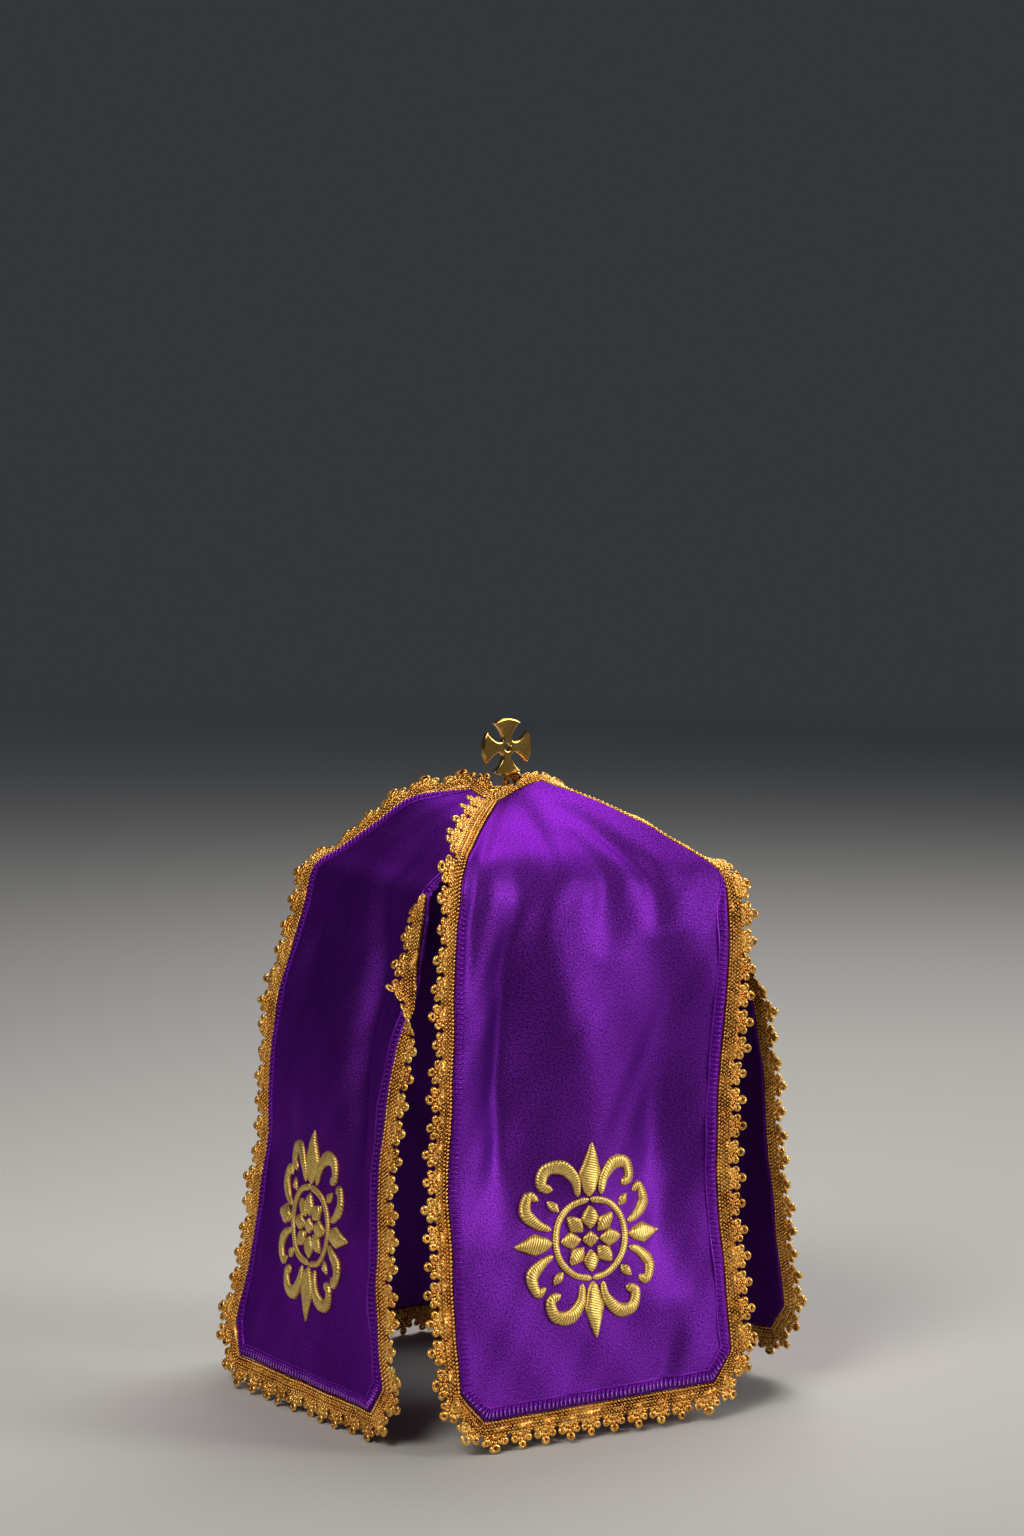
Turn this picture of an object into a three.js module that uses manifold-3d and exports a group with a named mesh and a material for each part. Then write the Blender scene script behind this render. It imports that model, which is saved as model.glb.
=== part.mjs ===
// A ciborium veil: four satin panels edged with scalloped lace, hanging from the crown of a lid
// whose finial cross shows above the neck. Millimetres, +Z up, the origin on the table under the neck.
import * as THREE from "three";
import { mergeVertices } from "three/addons/utils/BufferGeometryUtils.js";
import Module from "manifold-3d";

const wasm = await Module();
wasm.setup();

// Driving sizes
const CLOTH_THICKNESS = 2;
const LACE_THICKNESS = 1.4;
const SEWING_GAP = 0.3;
const ROW_PITCH = 9.2;
const COLUMNS = 10;
const CORNER_CUT = 8.5;
const CORNER_RISE = 10.4;

const LACE_WIDTH = 11;
const LACE_WAVER = 5;
const LACE_WAVER_STEP = 2.1;
const FLOOR_SNAP = 2.2;

const CROSS_RADIUS = 10.4;
const CROSS_THICKNESS = 2.3;
const CROSS_HEIGHT = 233;
const CROSS_YAW = 4;
const EYE_RADIUS = 1.6;
const NOTCH_REACH = 8.4;
const NOTCH_LONG = 5.2;
const NOTCH_WIDE = 2.35;
const NOTCH_COUNT = 4;
const POST_RADIUS = 1.1;
const POST_FOOT = 217;
const POST_SINK = 1;

const CROWN_FOOT = 204.1;
const CROWN_RADIUS = 17.6;
const CROWN_RIM = 3;
const CROWN_RISE = 10;
const CROWN_EDGE = 0.6;
const KNOB_RADIUS = 3.2;
const KNOB_FLARE = 1;
const KNOB_EDGE = 0.8;

// Segments round each round piece
const RIM_SEGMENTS = 24;
const NOTCH_SEGMENTS = 12;
const POST_SEGMENTS = 12;
const CROWN_SEGMENTS = 32;

// One level of a panel: the height and reach of its middle, half its width, its turn about the upright
// in degrees, its shift to the right, and how far its right edge stands above its left edge.
const section = (height, reach, half, yaw, shift, rise) => ({ height, reach, half, yaw, shift, rise });

// The sections of each panel from the neck to the hem; the fifth is the shoulder.
const SHOULDER = 4;
const SECTIONS = {
  front: [
    section(218, 9.4, 8.8, 0, 0, 6),
    section(211.2, 24, 23.4, 1, 0.2, 5.3),
    section(204.1, 36.6, 35.4, 2.2, 1.2, 2.2),
    section(197, 46.6, 45.4, 3, 2.6, -1.7),
    section(189, 52.8, 51.8, 3.6, 3.8, -0.6),
    section(176, 56.8, 53.4, 4.2, 1.8, 0),
    section(160, 58.8, 53.7, 4.6, 0.2, 0),
    section(140, 60, 53.2, 3.8, -1.5, 0),
    section(116, 60.6, 53.1, 3, -3.4, 0),
    section(93, 61.5, 53.3, 2.8, -5.1, 0),
    section(66.7, 66.2, 53.8, 1.8, -6.6, 0),
    section(41, 72.1, 54.2, 1.6, -8, 1),
    section(12.2, 78.4, 54.4, 1.8, -9.2, 2),
  ],
  left: [
    section(214.5, 9.4, 8.8, 0, 0, -5),
    section(209.6, 24, 23.4, 0, 0, -8.4),
    section(201.8, 36, 35, 1.5, -0.3, -3.2),
    section(194.2, 46.3, 45, 3, -0.6, 1.6),
    section(187.4, 55.2, 51, 5.2, -1.2, 1.4),
    section(173, 58.7, 52.2, 5, -0.8, 0),
    section(155, 63.2, 52.5, 3.8, -0.8, 0),
    section(136.6, 69.8, 52.5, 4.6, -1, 0),
    section(114.6, 73.2, 52.5, 6, -1, 0),
    section(88.7, 75.2, 52.5, 6.4, -1, 0),
    section(63, 77.8, 53, 5, -0.5, 0),
    section(40.7, 80.2, 53.5, 2.8, 0, 0),
    section(11.2, 82.8, 54.4, -2.1, 0.3, 0),
  ],
  right: [
    section(219.1, 9.4, 8.8, 0, 0, 1),
    section(211.6, 24, 23.4, 0, 0, 3.2),
    section(203.6, 36.5, 35.5, -0.5, 0.3, 3.6),
    section(195.6, 47.2, 46, -1.5, 0.6, 2),
    section(187, 56.2, 52, -2, 0.6, 1),
    section(154, 65.5, 52.8, -3, 0.6, 0),
    section(136, 70.5, 52.8, -3.5, 0.6, 0),
    section(113, 73.4, 52.8, -4, 0.6, 0),
    section(87, 75.8, 52.8, -4, 0.6, 0),
    section(60, 79, 53.2, -3.5, 0.5, -1),
    section(38, 82, 53.6, -3.2, 0.5, -5),
    section(15.3, 84.4, 54, -2.2, 0.4, -8),
  ],
  back: [
    section(214.8, 9.4, 8.8, 0, 0, -2.5),
    section(210.2, 24, 23.2, 0, 0, 0),
    section(201.4, 36, 35, 0.5, 0, -2.8),
    section(191, 46.5, 43.6, 0, -1, -4.5),
    section(183.6, 55, 49, -0.5, -1.6, -1.5),
    section(150, 61.5, 52.4, 1.5, 0.4, 0),
    section(128, 63, 53, 2, 1.2, 0),
    section(104, 64.5, 53, 1.5, 1.6, 0),
    section(80, 67.5, 53, 1.5, 2, 0),
    section(55, 71.5, 53.4, 2, 2.4, 0),
    section(32, 75.3, 53.8, 2, 2.8, 0),
    section(11.2, 78.6, 54, 2, 3, 0),
  ],
};

// One soft trough (a ridge where the depth is below zero): its heights, where it lies across the panel
// at each end as a share of the half width, its width and its depth.
const fold = (top, bottom, start, end, width, depth) => ({ top, bottom, start, end, width, depth });

const FOLDS = {
  front: [
    fold(216, 66, -0.55, -0.6, 7.5, 6),
    fold(186, 70, -0.54, -0.52, 11, 5),
    fold(214, 170, 0.42, 0.46, 5.5, 3),
    fold(206, 164, 0.14, 0.05, 6, 2.4),
    fold(172, 42, 0.56, 0.6, 12, 6),
    fold(198, 48, -0.46, 0.26, 13, -2.5),
  ],
  left: [
    fold(208, 70, 0.2, 0.68, 9, 6),
    fold(196, 110, -0.66, -0.6, 10, 2.5),
    fold(150, 30, -0.1, -0.2, 18, -3),
  ],
  right: [
    fold(208, 66, -0.2, -0.66, 9, 6),
    fold(198, 90, 0.6, 0.55, 11, 3),
    fold(150, 30, 0.1, 0.2, 18, -3),
  ],
  back: [
    fold(210, 60, 0.4, 0.46, 11, 6),
    fold(206, 120, -0.45, -0.5, 9, 4),
    fold(140, 24, -0.2, -0.1, 16, -3),
  ],
};

// How the lace is carried along one stretch of an edge: its turn at both ends, in degrees, inwards from
// the panel's own plane, and its width as a share of the full width where it is bunched.
const stretch = (edge, start, end, share = 1) => ({ edge, start, end, share });

const LACE = {
  front: [
    stretch("leftHip", -8, -14),
    stretch("leftSide", -14, 2),
    stretch("hem", 0, 0),
    stretch("rightSide", -6, -10),
    stretch("rightHip", 40, 44),
    stretch("neck", -20, -20, 0.36),
  ],
  left: [
    stretch("neckLeft", -30, -30, 0.72),
    stretch("leftHip", -16, 12),
    stretch("leftSide", -10, -12),
    stretch("hem", -14, -2),
    stretch("rightSideLower", 10, 16),
    stretch("rightTwist", 10, -150),
    stretch("rightFlip", -160, -164),
  ],
  right: [
    stretch("leftSideClear", 0, -4),
    stretch("hem", 0, 0),
    stretch("rightSide", -20, -30),
    stretch("rightHip", -16, -16),
    stretch("neckRight", -24, -22, 0.46),
  ],
  back: [
    stretch("leftSideClear", -44, -10),
    stretch("hem", 0, 0),
    stretch("rightSideClear", -10, -44),
  ],
};

// One scallop of the lace: a point's place along it and its reach, both as shares.
const scallopPoint = (along, reach) => ({ along, reach });
const SCALLOP = [
  scallopPoint(0, 0.56),
  scallopPoint(0.2, 0.77),
  scallopPoint(0.33, 0.8),
  scallopPoint(0.38, 1),
  scallopPoint(0.62, 1),
  scallopPoint(0.67, 0.8),
  scallopPoint(0.8, 0.77),
];
const PICOT_TIPS = [3, 4];

const TURNS = { front: 0, right: 90, back: 180, left: -90 };
// Rows below the shoulder at which a side lace starts, rows over which one turns over, and columns that
// a neck lace stops short of the panel's corner.
const CLEAR_ROWS = 3;
const NECK_CLEAR = 3;
const FLIP_ROWS = 2;
const TWIST_ROWS = 2;

const satin = new THREE.MeshStandardMaterial({ color: 0x5a1e8c, roughness: 0.45, metalness: 0 });
const goldLace = new THREE.MeshStandardMaterial({ color: 0xd2a045, roughness: 0.5, metalness: 0.5 });
const brass = new THREE.MeshStandardMaterial({ color: 0xb98a2c, roughness: 0.25, metalness: 1 });

// Each section's distance down the cloth from the neck.
function withDistance(rows) {
  let down = 0;
  return rows.map((row, i) => {
    if (i > 0) down += Math.hypot(row.reach - rows[i - 1].reach, row.height - rows[i - 1].height);
    return { ...row, down };
  });
}

// The slope of a column at a row, level where the column turns, so that the curve never overshoots.
function slopeAt(rows, column, i) {
  const step = (k) => rows[k + 1].down - rows[k].down;
  const rate = (k) => (rows[k + 1][column] - rows[k][column]) / step(k);
  if (i === 0) return rate(0);
  if (i === rows.length - 1) return rate(i - 1);
  if (rate(i - 1) * rate(i) <= 0) return 0;
  const before = 2 * step(i) + step(i - 1);
  const after = step(i) + 2 * step(i - 1);
  return (before + after) / (before / rate(i - 1) + after / rate(i));
}

function columnAt(rows, column, down) {
  let i = 0;
  while (i < rows.length - 2 && rows[i + 1].down < down) i += 1;
  const step = rows[i + 1].down - rows[i].down;
  const s = (down - rows[i].down) / step;
  const rise = s * s * (3 - 2 * s);
  const leave = s * (1 - s) * (1 - s) * step;
  const arrive = s * s * (s - 1) * step;
  return (
    rows[i][column] * (1 - rise) +
    rows[i + 1][column] * rise +
    slopeAt(rows, column, i) * leave +
    slopeAt(rows, column, i + 1) * arrive
  );
}

// How far the folds push the cloth in at a point.
function foldDepth(folds, across, half, height) {
  let depth = 0;
  for (const f of folds) {
    const s = (f.top - height) / (f.top - f.bottom);
    if (s <= 0 || s >= 1) continue;
    const centre = (f.start + (f.end - f.start) * s) * half;
    const offset = (across * half - centre) / f.width;
    depth += f.depth * Math.sin(Math.PI * s) * Math.exp(-offset * offset);
  }
  return depth;
}

// A point of a panel's middle surface in the panel's own frame: X to the right, -Y outwards.
const SLOPE_STEP = 0.5;
function clothPoint(name, rows, across, down) {
  const at = (column) => columnAt(rows, column, down);
  const hem = rows[rows.length - 1].down;
  const cut = Math.max(0, (down - (hem - CORNER_RISE)) / CORNER_RISE) * CORNER_CUT;
  const half = at("half") - cut;
  const yaw = THREE.MathUtils.degToRad(at("yaw"));
  const above = Math.max(0, down - SLOPE_STEP);
  const below = Math.min(hem, down + SLOPE_STEP);
  const change = (column) => columnAt(rows, column, below) - columnAt(rows, column, above);
  const slope = new THREE.Vector2(change("reach"), change("height")).normalize();
  const height = at("height") + (at("rise") / 2) * across;
  const dent = foldDepth(FOLDS[name], across, half, height);
  return new THREE.Vector3(
    at("shift") + half * Math.cos(yaw) * across,
    -(at("reach") + half * Math.sin(yaw) * across + dent * slope.y),
    height - dent * slope.x,
  );
}

// Distances down the cloth at which a panel's rows lie.
function rowDistances(rows) {
  const shoulder = rows[SHOULDER].down;
  const hem = rows[rows.length - 1].down;
  const corner = hem - CORNER_RISE;
  const roofRows = Math.round(shoulder / ROW_PITCH);
  const sideRows = Math.round((corner - shoulder) / ROW_PITCH);
  const down = [];
  for (let i = 0; i < roofRows; i += 1) down.push((shoulder * i) / roofRows);
  for (let i = 0; i <= sideRows; i += 1) down.push(shoulder + ((corner - shoulder) * i) / sideRows);
  down.push(hem);
  return { down, roofRows, sideRows };
}

// The middle surface of a panel as a grid of points with their normals.
function clothGrid(name) {
  const rows = withDistance(SECTIONS[name]);
  const { down, roofRows, sideRows } = rowDistances(rows);
  const points = down.map((d) =>
    Array.from({ length: COLUMNS + 1 }, (_, c) => clothPoint(name, rows, (2 * c) / COLUMNS - 1, d)),
  );
  const index = [];
  const id = (r, c) => r * (COLUMNS + 1) + c;
  for (let r = 0; r + 1 < points.length; r += 1)
    for (let c = 0; c < COLUMNS; c += 1)
      index.push(id(r, c), id(r + 1, c), id(r + 1, c + 1), id(r, c), id(r + 1, c + 1), id(r, c + 1));
  const middle = new THREE.BufferGeometry().setFromPoints(points.flat()).setIndex(index);
  middle.computeVertexNormals();
  const normals = points.map((row, r) =>
    row.map((_, c) => new THREE.Vector3().fromBufferAttribute(middle.attributes.normal, id(r, c))),
  );
  return { points, normals, index, roofRows, sideRows };
}

// A closed solid from two matching layers of points, the faces of the front layer and its border.
function layeredSolid(front, back, index, border) {
  const count = front.length;
  const faces = [...index];
  for (let i = 0; i < index.length; i += 3)
    faces.push(index[i] + count, index[i + 2] + count, index[i + 1] + count);
  border.forEach((a, i) => {
    const b = border[(i + 1) % border.length];
    faces.push(b, a, a + count, b, a + count, b + count);
  });
  return new THREE.BufferGeometry().setFromPoints([...front, ...back]).setIndex(faces);
}

function panelGeometry(grid) {
  const offset = (amount) =>
    grid.points.flatMap((row, r) =>
      row.map((p, c) => p.clone().addScaledVector(grid.normals[r][c], amount)),
    );
  const id = (r, c) => r * (COLUMNS + 1) + c;
  const last = grid.points.length - 1;
  const border = [];
  for (let r = 0; r < last; r += 1) border.push(id(r, 0));
  for (let c = 0; c < COLUMNS; c += 1) border.push(id(last, c));
  for (let r = last; r > 0; r -= 1) border.push(id(r, COLUMNS));
  for (let c = COLUMNS; c > 0; c -= 1) border.push(id(0, c));
  const half = CLOTH_THICKNESS / 2;
  return layeredSolid(offset(half), offset(-half), grid.index, border);
}

// A row with this fraction lies half way down the clipped corner.
const MIDWAY = 0.5;

// The places on a panel's border that one stretch of lace passes, in the order it is sewn:
// down the left edge, along the hem, up the right edge and back along the neck.
function edgePlaces(grid, edge) {
  const corner = grid.roofRows + grid.sideRows;
  const last = corner + 1;
  const rowsDown = (from, to, c) => Array.from({ length: to - from + 1 }, (_, i) => [from + i, c]);
  const rowsUp = (from, to, c) => rowsDown(to, from, c).reverse();
  const flip = grid.roofRows + 1 + FLIP_ROWS;
  const twist = flip + TWIST_ROWS;
  const middle = COLUMNS / 2;
  switch (edge) {
    case "leftHip":
      return rowsDown(0, grid.roofRows, 0);
    case "leftSide":
      return rowsDown(grid.roofRows, corner, 0);
    case "leftSideClear":
      return rowsDown(grid.roofRows + CLEAR_ROWS, corner, 0);
    case "hem":
      return [
        [corner, 0],
        [corner + MIDWAY, 0],
        ...Array.from({ length: COLUMNS + 1 }, (_, c) => [last, c]),
        [corner + MIDWAY, COLUMNS],
        [corner, COLUMNS],
      ];
    case "rightSide":
      return rowsUp(corner, grid.roofRows, COLUMNS);
    case "rightSideLower":
      return rowsUp(corner, twist, COLUMNS);
    case "rightSideClear":
      return rowsUp(corner, grid.roofRows + CLEAR_ROWS, COLUMNS);
    case "rightTwist":
      return rowsUp(twist, flip, COLUMNS);
    case "rightFlip":
      return rowsUp(flip, grid.roofRows, COLUMNS);
    case "rightHip":
      return rowsUp(grid.roofRows, 0, COLUMNS);
    case "neck":
      return [COLUMNS, middle, 0].map((c) => [0, c]);
    case "neckLeft":
      return [COLUMNS - NECK_CLEAR, middle - 1, 0].map((c) => [0, c]);
    case "neckRight":
      return [COLUMNS, middle + 1, NECK_CLEAR].map((c) => [0, c]);
    default:
      throw new Error("unknown edge " + edge);
  }
}

// The stations along a panel's lace: where it is sewn, its turn and its share of the full width.
function laceStations(grid, stretches) {
  const stations = [];
  for (const { edge, start, end, share } of stretches) {
    const places = edgePlaces(grid, edge);
    places.forEach(([r, c], i) => {
      const turn = start + ((end - start) * i) / (places.length - 1);
      const low = Math.floor(r);
      const high = Math.ceil(r);
      const point = grid.points[low][c].clone().lerp(grid.points[high][c], MIDWAY);
      const normal = grid.normals[low][c].clone().lerp(grid.normals[high][c], MIDWAY).normalize();
      const shared = i === 0 && stations.length ? stations[stations.length - 1] : null;
      if (shared) {
        shared.turn = (shared.turn + turn) / 2;
        shared.share = (shared.share + share) / 2;
      } else {
        stations.push({ point, normal, turn, share });
      }
    });
  }
  return stations;
}

// Adds to each station the way the lace leaves the edge, its own normal and its root clear of the cloth.
function aimLace(stations, closed) {
  const count = stations.length;
  const within = (i) => THREE.MathUtils.clamp(i, 0, count - 1);
  const next = (i, step) => (closed ? (i + step + count) % count : within(i + step));
  stations.forEach((s, i) => {
    const along = stations[next(i, 1)].point.clone().sub(stations[next(i, -1)].point).normalize();
    const away = along.clone().cross(s.normal).normalize();
    const waver = LACE_WAVER * Math.sin(i * LACE_WAVER_STEP);
    const angle = THREE.MathUtils.degToRad(s.turn + waver);
    const lift = ((CLOTH_THICKNESS + LACE_THICKNESS) / 2 + SEWING_GAP) * (Math.cos(angle) < 0 ? 1 : 0);
    const clear = SEWING_GAP + (LACE_THICKNESS / 2) * Math.abs(Math.sin(angle));
    s.out = away.clone().multiplyScalar(Math.cos(angle)).addScaledVector(s.normal, -Math.sin(angle));
    s.face = s.normal.clone().multiplyScalar(Math.cos(angle)).addScaledVector(away, Math.sin(angle));
    s.root = s.point.clone().addScaledVector(away, clear).addScaledVector(s.normal, lift);
  });
}

// A length of scalloped lace along its stations, one scallop between each two.
function laceGeometry(stations, closed) {
  aimLace(stations, closed);
  const spans = closed ? stations.length : stations.length - 1;
  const front = [];
  const back = [];
  const place = (a, b, along, reach, onFloor) => {
    const root = a.root.clone().lerp(b.root, along);
    const out = a.out.clone().lerp(b.out, along).normalize();
    const face = a.face.clone().lerp(b.face, along).normalize();
    const width = LACE_WIDTH * reach * (a.share + (b.share - a.share) * along);
    const spot = root.addScaledVector(out, width);
    for (const [layer, side] of [[front, 1], [back, -1]]) {
      const p = spot.clone().addScaledVector(face, (side * LACE_THICKNESS) / 2);
      if (onFloor && Math.abs(p.z) < FLOOR_SNAP) p.z = 0;
      layer.push(p);
    }
    return front.length - 1;
  };
  const index = [];
  const inner = [];
  const outer = [];
  const roots = stations.map((s) => place(s, s, 0, 0, false));
  const ids = [];
  for (let k = 0; k < spans; k += 1) {
    const a = stations[k];
    const b = stations[(k + 1) % stations.length];
    ids.push(SCALLOP.map((p, j) => place(a, b, p.along, p.reach, PICOT_TIPS.includes(j))));
  }
  const end = closed ? ids[0][0] : place(stations.at(-1), stations.at(-1), 0, SCALLOP[0].reach, false);
  for (let k = 0; k < spans; k += 1) {
    const [valley, lobe, neckA, tipA, tipB, neckB, lobeB] = ids[k];
    const after = k + 1 < spans ? ids[k + 1][0] : end;
    const left = roots[k];
    const right = roots[(k + 1) % stations.length];
    const faces = [
      [left, valley, lobe],
      [left, lobe, neckA],
      [left, neckA, right],
      [right, neckA, neckB],
      [neckA, tipA, tipB],
      [neckA, tipB, neckB],
      [right, neckB, lobeB],
      [right, lobeB, after],
    ];
    index.push(...faces.flat());
    inner.push(left);
    outer.push(valley, lobe, neckA, tipA, tipB, neckB, lobeB);
  }
  if (!closed) {
    inner.push(roots.at(-1));
    outer.push(end);
    return layeredSolid(front, back, index, [...outer, ...inner.reverse()]);
  }
  return ringSolid(front, back, index, outer, inner.reverse());
}

// As layeredSolid, for a closed ring with an outer and an inner border.
function ringSolid(front, back, index, outer, inner) {
  const solid = layeredSolid(front, back, index, outer);
  const faces = [...solid.index.array];
  inner.forEach((a, i) => {
    const b = inner[(i + 1) % inner.length];
    faces.push(b, a, a + front.length, b, a + front.length, b + front.length);
  });
  return solid.setIndex(faces);
}

function toManifold(geometry) {
  const bare = new THREE.BufferGeometry().setAttribute("position", geometry.getAttribute("position").clone());
  if (geometry.index) bare.setIndex(geometry.index.clone());
  const merged = mergeVertices(bare);
  return new wasm.Manifold(
    new wasm.Mesh({
      numProp: 3,
      vertProperties: new Float32Array(merged.attributes.position.array),
      triVerts: new Uint32Array(merged.index.array),
    }),
  );
}

function fromManifold(solid) {
  const mesh = solid.getMesh();
  return new THREE.BufferGeometry()
    .setAttribute("position", new THREE.BufferAttribute(new Float32Array(mesh.vertProperties), 3))
    .setIndex(new THREE.BufferAttribute(new Uint32Array(mesh.triVerts), 1));
}

// A cross cut from a round plate by oval notches, pierced at its centre, on a short post.
function crossGeometry() {
  const turn = 2 * Math.PI;
  const extrude = (shape, depth, curveSegments) => {
    const solid = new THREE.ExtrudeGeometry(shape, { depth, bevelEnabled: false, curveSegments });
    return solid.translate(0, 0, -depth / 2);
  };
  const plate = new THREE.Shape().absarc(0, 0, CROSS_RADIUS, 0, turn, false);
  plate.holes.push(new THREE.Path().absarc(0, 0, EYE_RADIUS, 0, turn, true));
  let solid = toManifold(extrude(plate, CROSS_THICKNESS, RIM_SEGMENTS));
  for (let k = 0; k < NOTCH_COUNT; k += 1) {
    const notch = new THREE.Shape().absellipse(NOTCH_REACH, 0, NOTCH_LONG, NOTCH_WIDE, 0, turn, false);
    const cutter = extrude(notch, 2 * CROSS_THICKNESS, NOTCH_SEGMENTS);
    cutter.rotateZ((turn * (k + MIDWAY)) / NOTCH_COUNT);
    solid = solid.subtract(toManifold(cutter));
  }
  const postTop = POST_SINK - CROSS_RADIUS;
  const postLength = CROSS_HEIGHT + postTop - POST_FOOT;
  const post = new THREE.CylinderGeometry(POST_RADIUS, POST_RADIUS, postLength, POST_SEGMENTS);
  post.translate(0, postTop - postLength / 2, 0);
  return fromManifold(solid.add(toManifold(post)));
}

// The crown of the lid: a low dome with a knob that carries the post, flat underneath.
function crownGeometry() {
  const knobRise = POST_FOOT - SEWING_GAP - CROWN_FOOT;
  const crownPoint = (radius, rise) => new THREE.Vector2(radius, rise);
  const profile = [
    crownPoint(0, 0),
    crownPoint(CROWN_RADIUS - CROWN_EDGE, 0),
    crownPoint(CROWN_RADIUS, CROWN_EDGE),
    crownPoint(CROWN_RADIUS - CROWN_EDGE, CROWN_RIM),
    crownPoint(0.74 * CROWN_RADIUS, 0.6 * CROWN_RISE),
    crownPoint(0.48 * CROWN_RADIUS, 0.86 * CROWN_RISE),
    crownPoint(KNOB_RADIUS + KNOB_FLARE, CROWN_RISE),
    crownPoint(KNOB_RADIUS, CROWN_RISE + KNOB_FLARE),
    crownPoint(KNOB_RADIUS, knobRise - KNOB_EDGE),
    crownPoint(KNOB_RADIUS - KNOB_EDGE, knobRise),
    crownPoint(0, knobRise),
  ];
  return new THREE.LatheGeometry(profile, CROWN_SEGMENTS).rotateX(Math.PI / 2);
}

function addMesh(parent, name, geometry, material) {
  const mesh = new THREE.Mesh(geometry, material);
  mesh.name = name;
  parent.add(mesh);
  return mesh;
}

const veil = new THREE.Group();
for (const [side, turn] of Object.entries(TURNS)) {
  const group = new THREE.Group();
  group.rotation.z = THREE.MathUtils.degToRad(turn);
  const grid = clothGrid(side);
  const closed = side === "front";
  const stations = laceStations(grid, LACE[side]);
  if (closed) stations.pop();
  addMesh(group, "panel_" + side, panelGeometry(grid), satin);
  addMesh(group, "lace_" + side, laceGeometry(stations, closed), goldLace);
  veil.add(group);
}

const finial = addMesh(veil, "finial_cross", crossGeometry(), brass);
finial.position.z = CROSS_HEIGHT;
finial.rotation.set(Math.PI / 2, 0, THREE.MathUtils.degToRad(CROSS_YAW), "ZXY");
const crown = addMesh(veil, "lid_crown", crownGeometry(), brass);
crown.position.z = CROWN_FOOT;

export default veil;
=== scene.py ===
"""Ciborium veil: satin panels with crocheted gold edging, raised embroidery and a finial cross."""

import math
from collections import namedtuple

import bmesh
import bpy
import numpy as np
from bpy.props import FloatProperty, FloatVectorProperty, IntProperty, PointerProperty
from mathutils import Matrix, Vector


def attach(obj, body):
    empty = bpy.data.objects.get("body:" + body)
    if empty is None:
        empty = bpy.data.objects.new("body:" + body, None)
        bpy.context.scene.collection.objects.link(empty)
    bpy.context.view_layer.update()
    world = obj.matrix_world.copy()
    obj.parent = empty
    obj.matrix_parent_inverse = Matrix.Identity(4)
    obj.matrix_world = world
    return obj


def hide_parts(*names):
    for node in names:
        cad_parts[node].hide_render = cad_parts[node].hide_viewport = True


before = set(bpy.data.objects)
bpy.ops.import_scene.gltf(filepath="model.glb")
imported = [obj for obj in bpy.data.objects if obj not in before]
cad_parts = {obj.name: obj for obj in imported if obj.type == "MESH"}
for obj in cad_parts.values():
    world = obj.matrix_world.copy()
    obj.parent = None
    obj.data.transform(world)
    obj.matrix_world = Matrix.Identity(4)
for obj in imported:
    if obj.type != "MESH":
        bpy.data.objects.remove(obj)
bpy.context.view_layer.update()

bl_info = {
    "name": "Ciborium Veil",
    "version": (1, 0, 0),
    "blender": (4, 5, 0),
    "location": "View3D > Sidebar > Veil",
    "description": "Dresses the packed veil in satin, gold edging, embroidery and brass",
    "category": "Object",
}

MM = 0.001
SIDES = ("front", "right", "back", "left")

# The hang of the veil, in millimetres and degrees, as in the part's solids.
CLOTH_THICKNESS = 2.0
LACE_THICKNESS = 1.4
SEWING_GAP = 0.3
ROW_PITCH = 9.2
COLUMNS = 10
CORNER_CUT = 8.5
CORNER_RISE = 10.4
LACE_WAVER = 5.0
LACE_WAVER_STEP = 2.1
SHOULDER = 4
CLEAR_ROWS = 3
NECK_CLEAR = 3
FLIP_ROWS = 2
TWIST_ROWS = 2
TURNS = {"front": 0, "right": 90, "back": 180, "left": -90}

# How finely the cloth is worked out: steps and margins in millimetres or shares, and counts.
SLOPE_STEP = 0.5
NORMAL_ACROSS = 0.02
NORMAL_DOWN = 0.8
BORDER_STEPS = 400
BORDER_REACH = 2
CUT_LEVELS = 400
PANEL_RIM = (0.0, 0.25, 0.7, 1.2)
PANEL_RIM_HALF = 54
PANEL_COLUMNS = 61
PANEL_TOP = 1.6
PANEL_ROWS = 120
CORNER_LAST = 2
CORNER_ROWS = 7
EDGE_ROUND = 0.92

# The share that lace and hem narrow to at their ends, over how many ribs, the lace's reach back to the
# cloth, and where its picots start to lean, in millimetres.
LACE_END = 0.3
BAND_END = 0.2
BAND_TAPER = 8
LACE_TUCK = 0.2
LACE_HINGE = 4.5

# One scallop of the lace, in millimetres and degrees: its ground, rope, braid, petals and loops.
SCALLOP_BEADS = 7
GROUND_STEPS = 9
GROUND_DEPTH, GROUND_SWELL, GROUND_ROUND, GROUND_THICKNESS = 4.9, 2.8, 0.9, 0.4
ROPE_PLACE, ROPE_RISE, ROPE_SIZE, ROPE_TURN = 0.45, 0.1, (1.4, 0.95, 2.0), 34
BRAID_ROWS, BRAID_SIDES = 4, 5
BRAID_PLACE, BRAID_PITCH, BRAID_SIZE, BRAID_TURN = 1.65, 1.0, (1.3, 0.72, 1.7), 42
PETAL_ANGLES = (-72, -48, -24, 0, 24, 48, 72)
PETAL_PLACE, PETAL_RISE, PETAL_HEIGHT = 4.4, 0.05, 1.45
PETALS = ((1.5, 1.8, 0.8), (3.1, 2.0, 1.3))
LOOPS = ((0, 9.3, 1.0, 0.7), (-2.85, 7.2, 0.82, 0.64), (2.85, 7.2, 0.82, 0.64))

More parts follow.
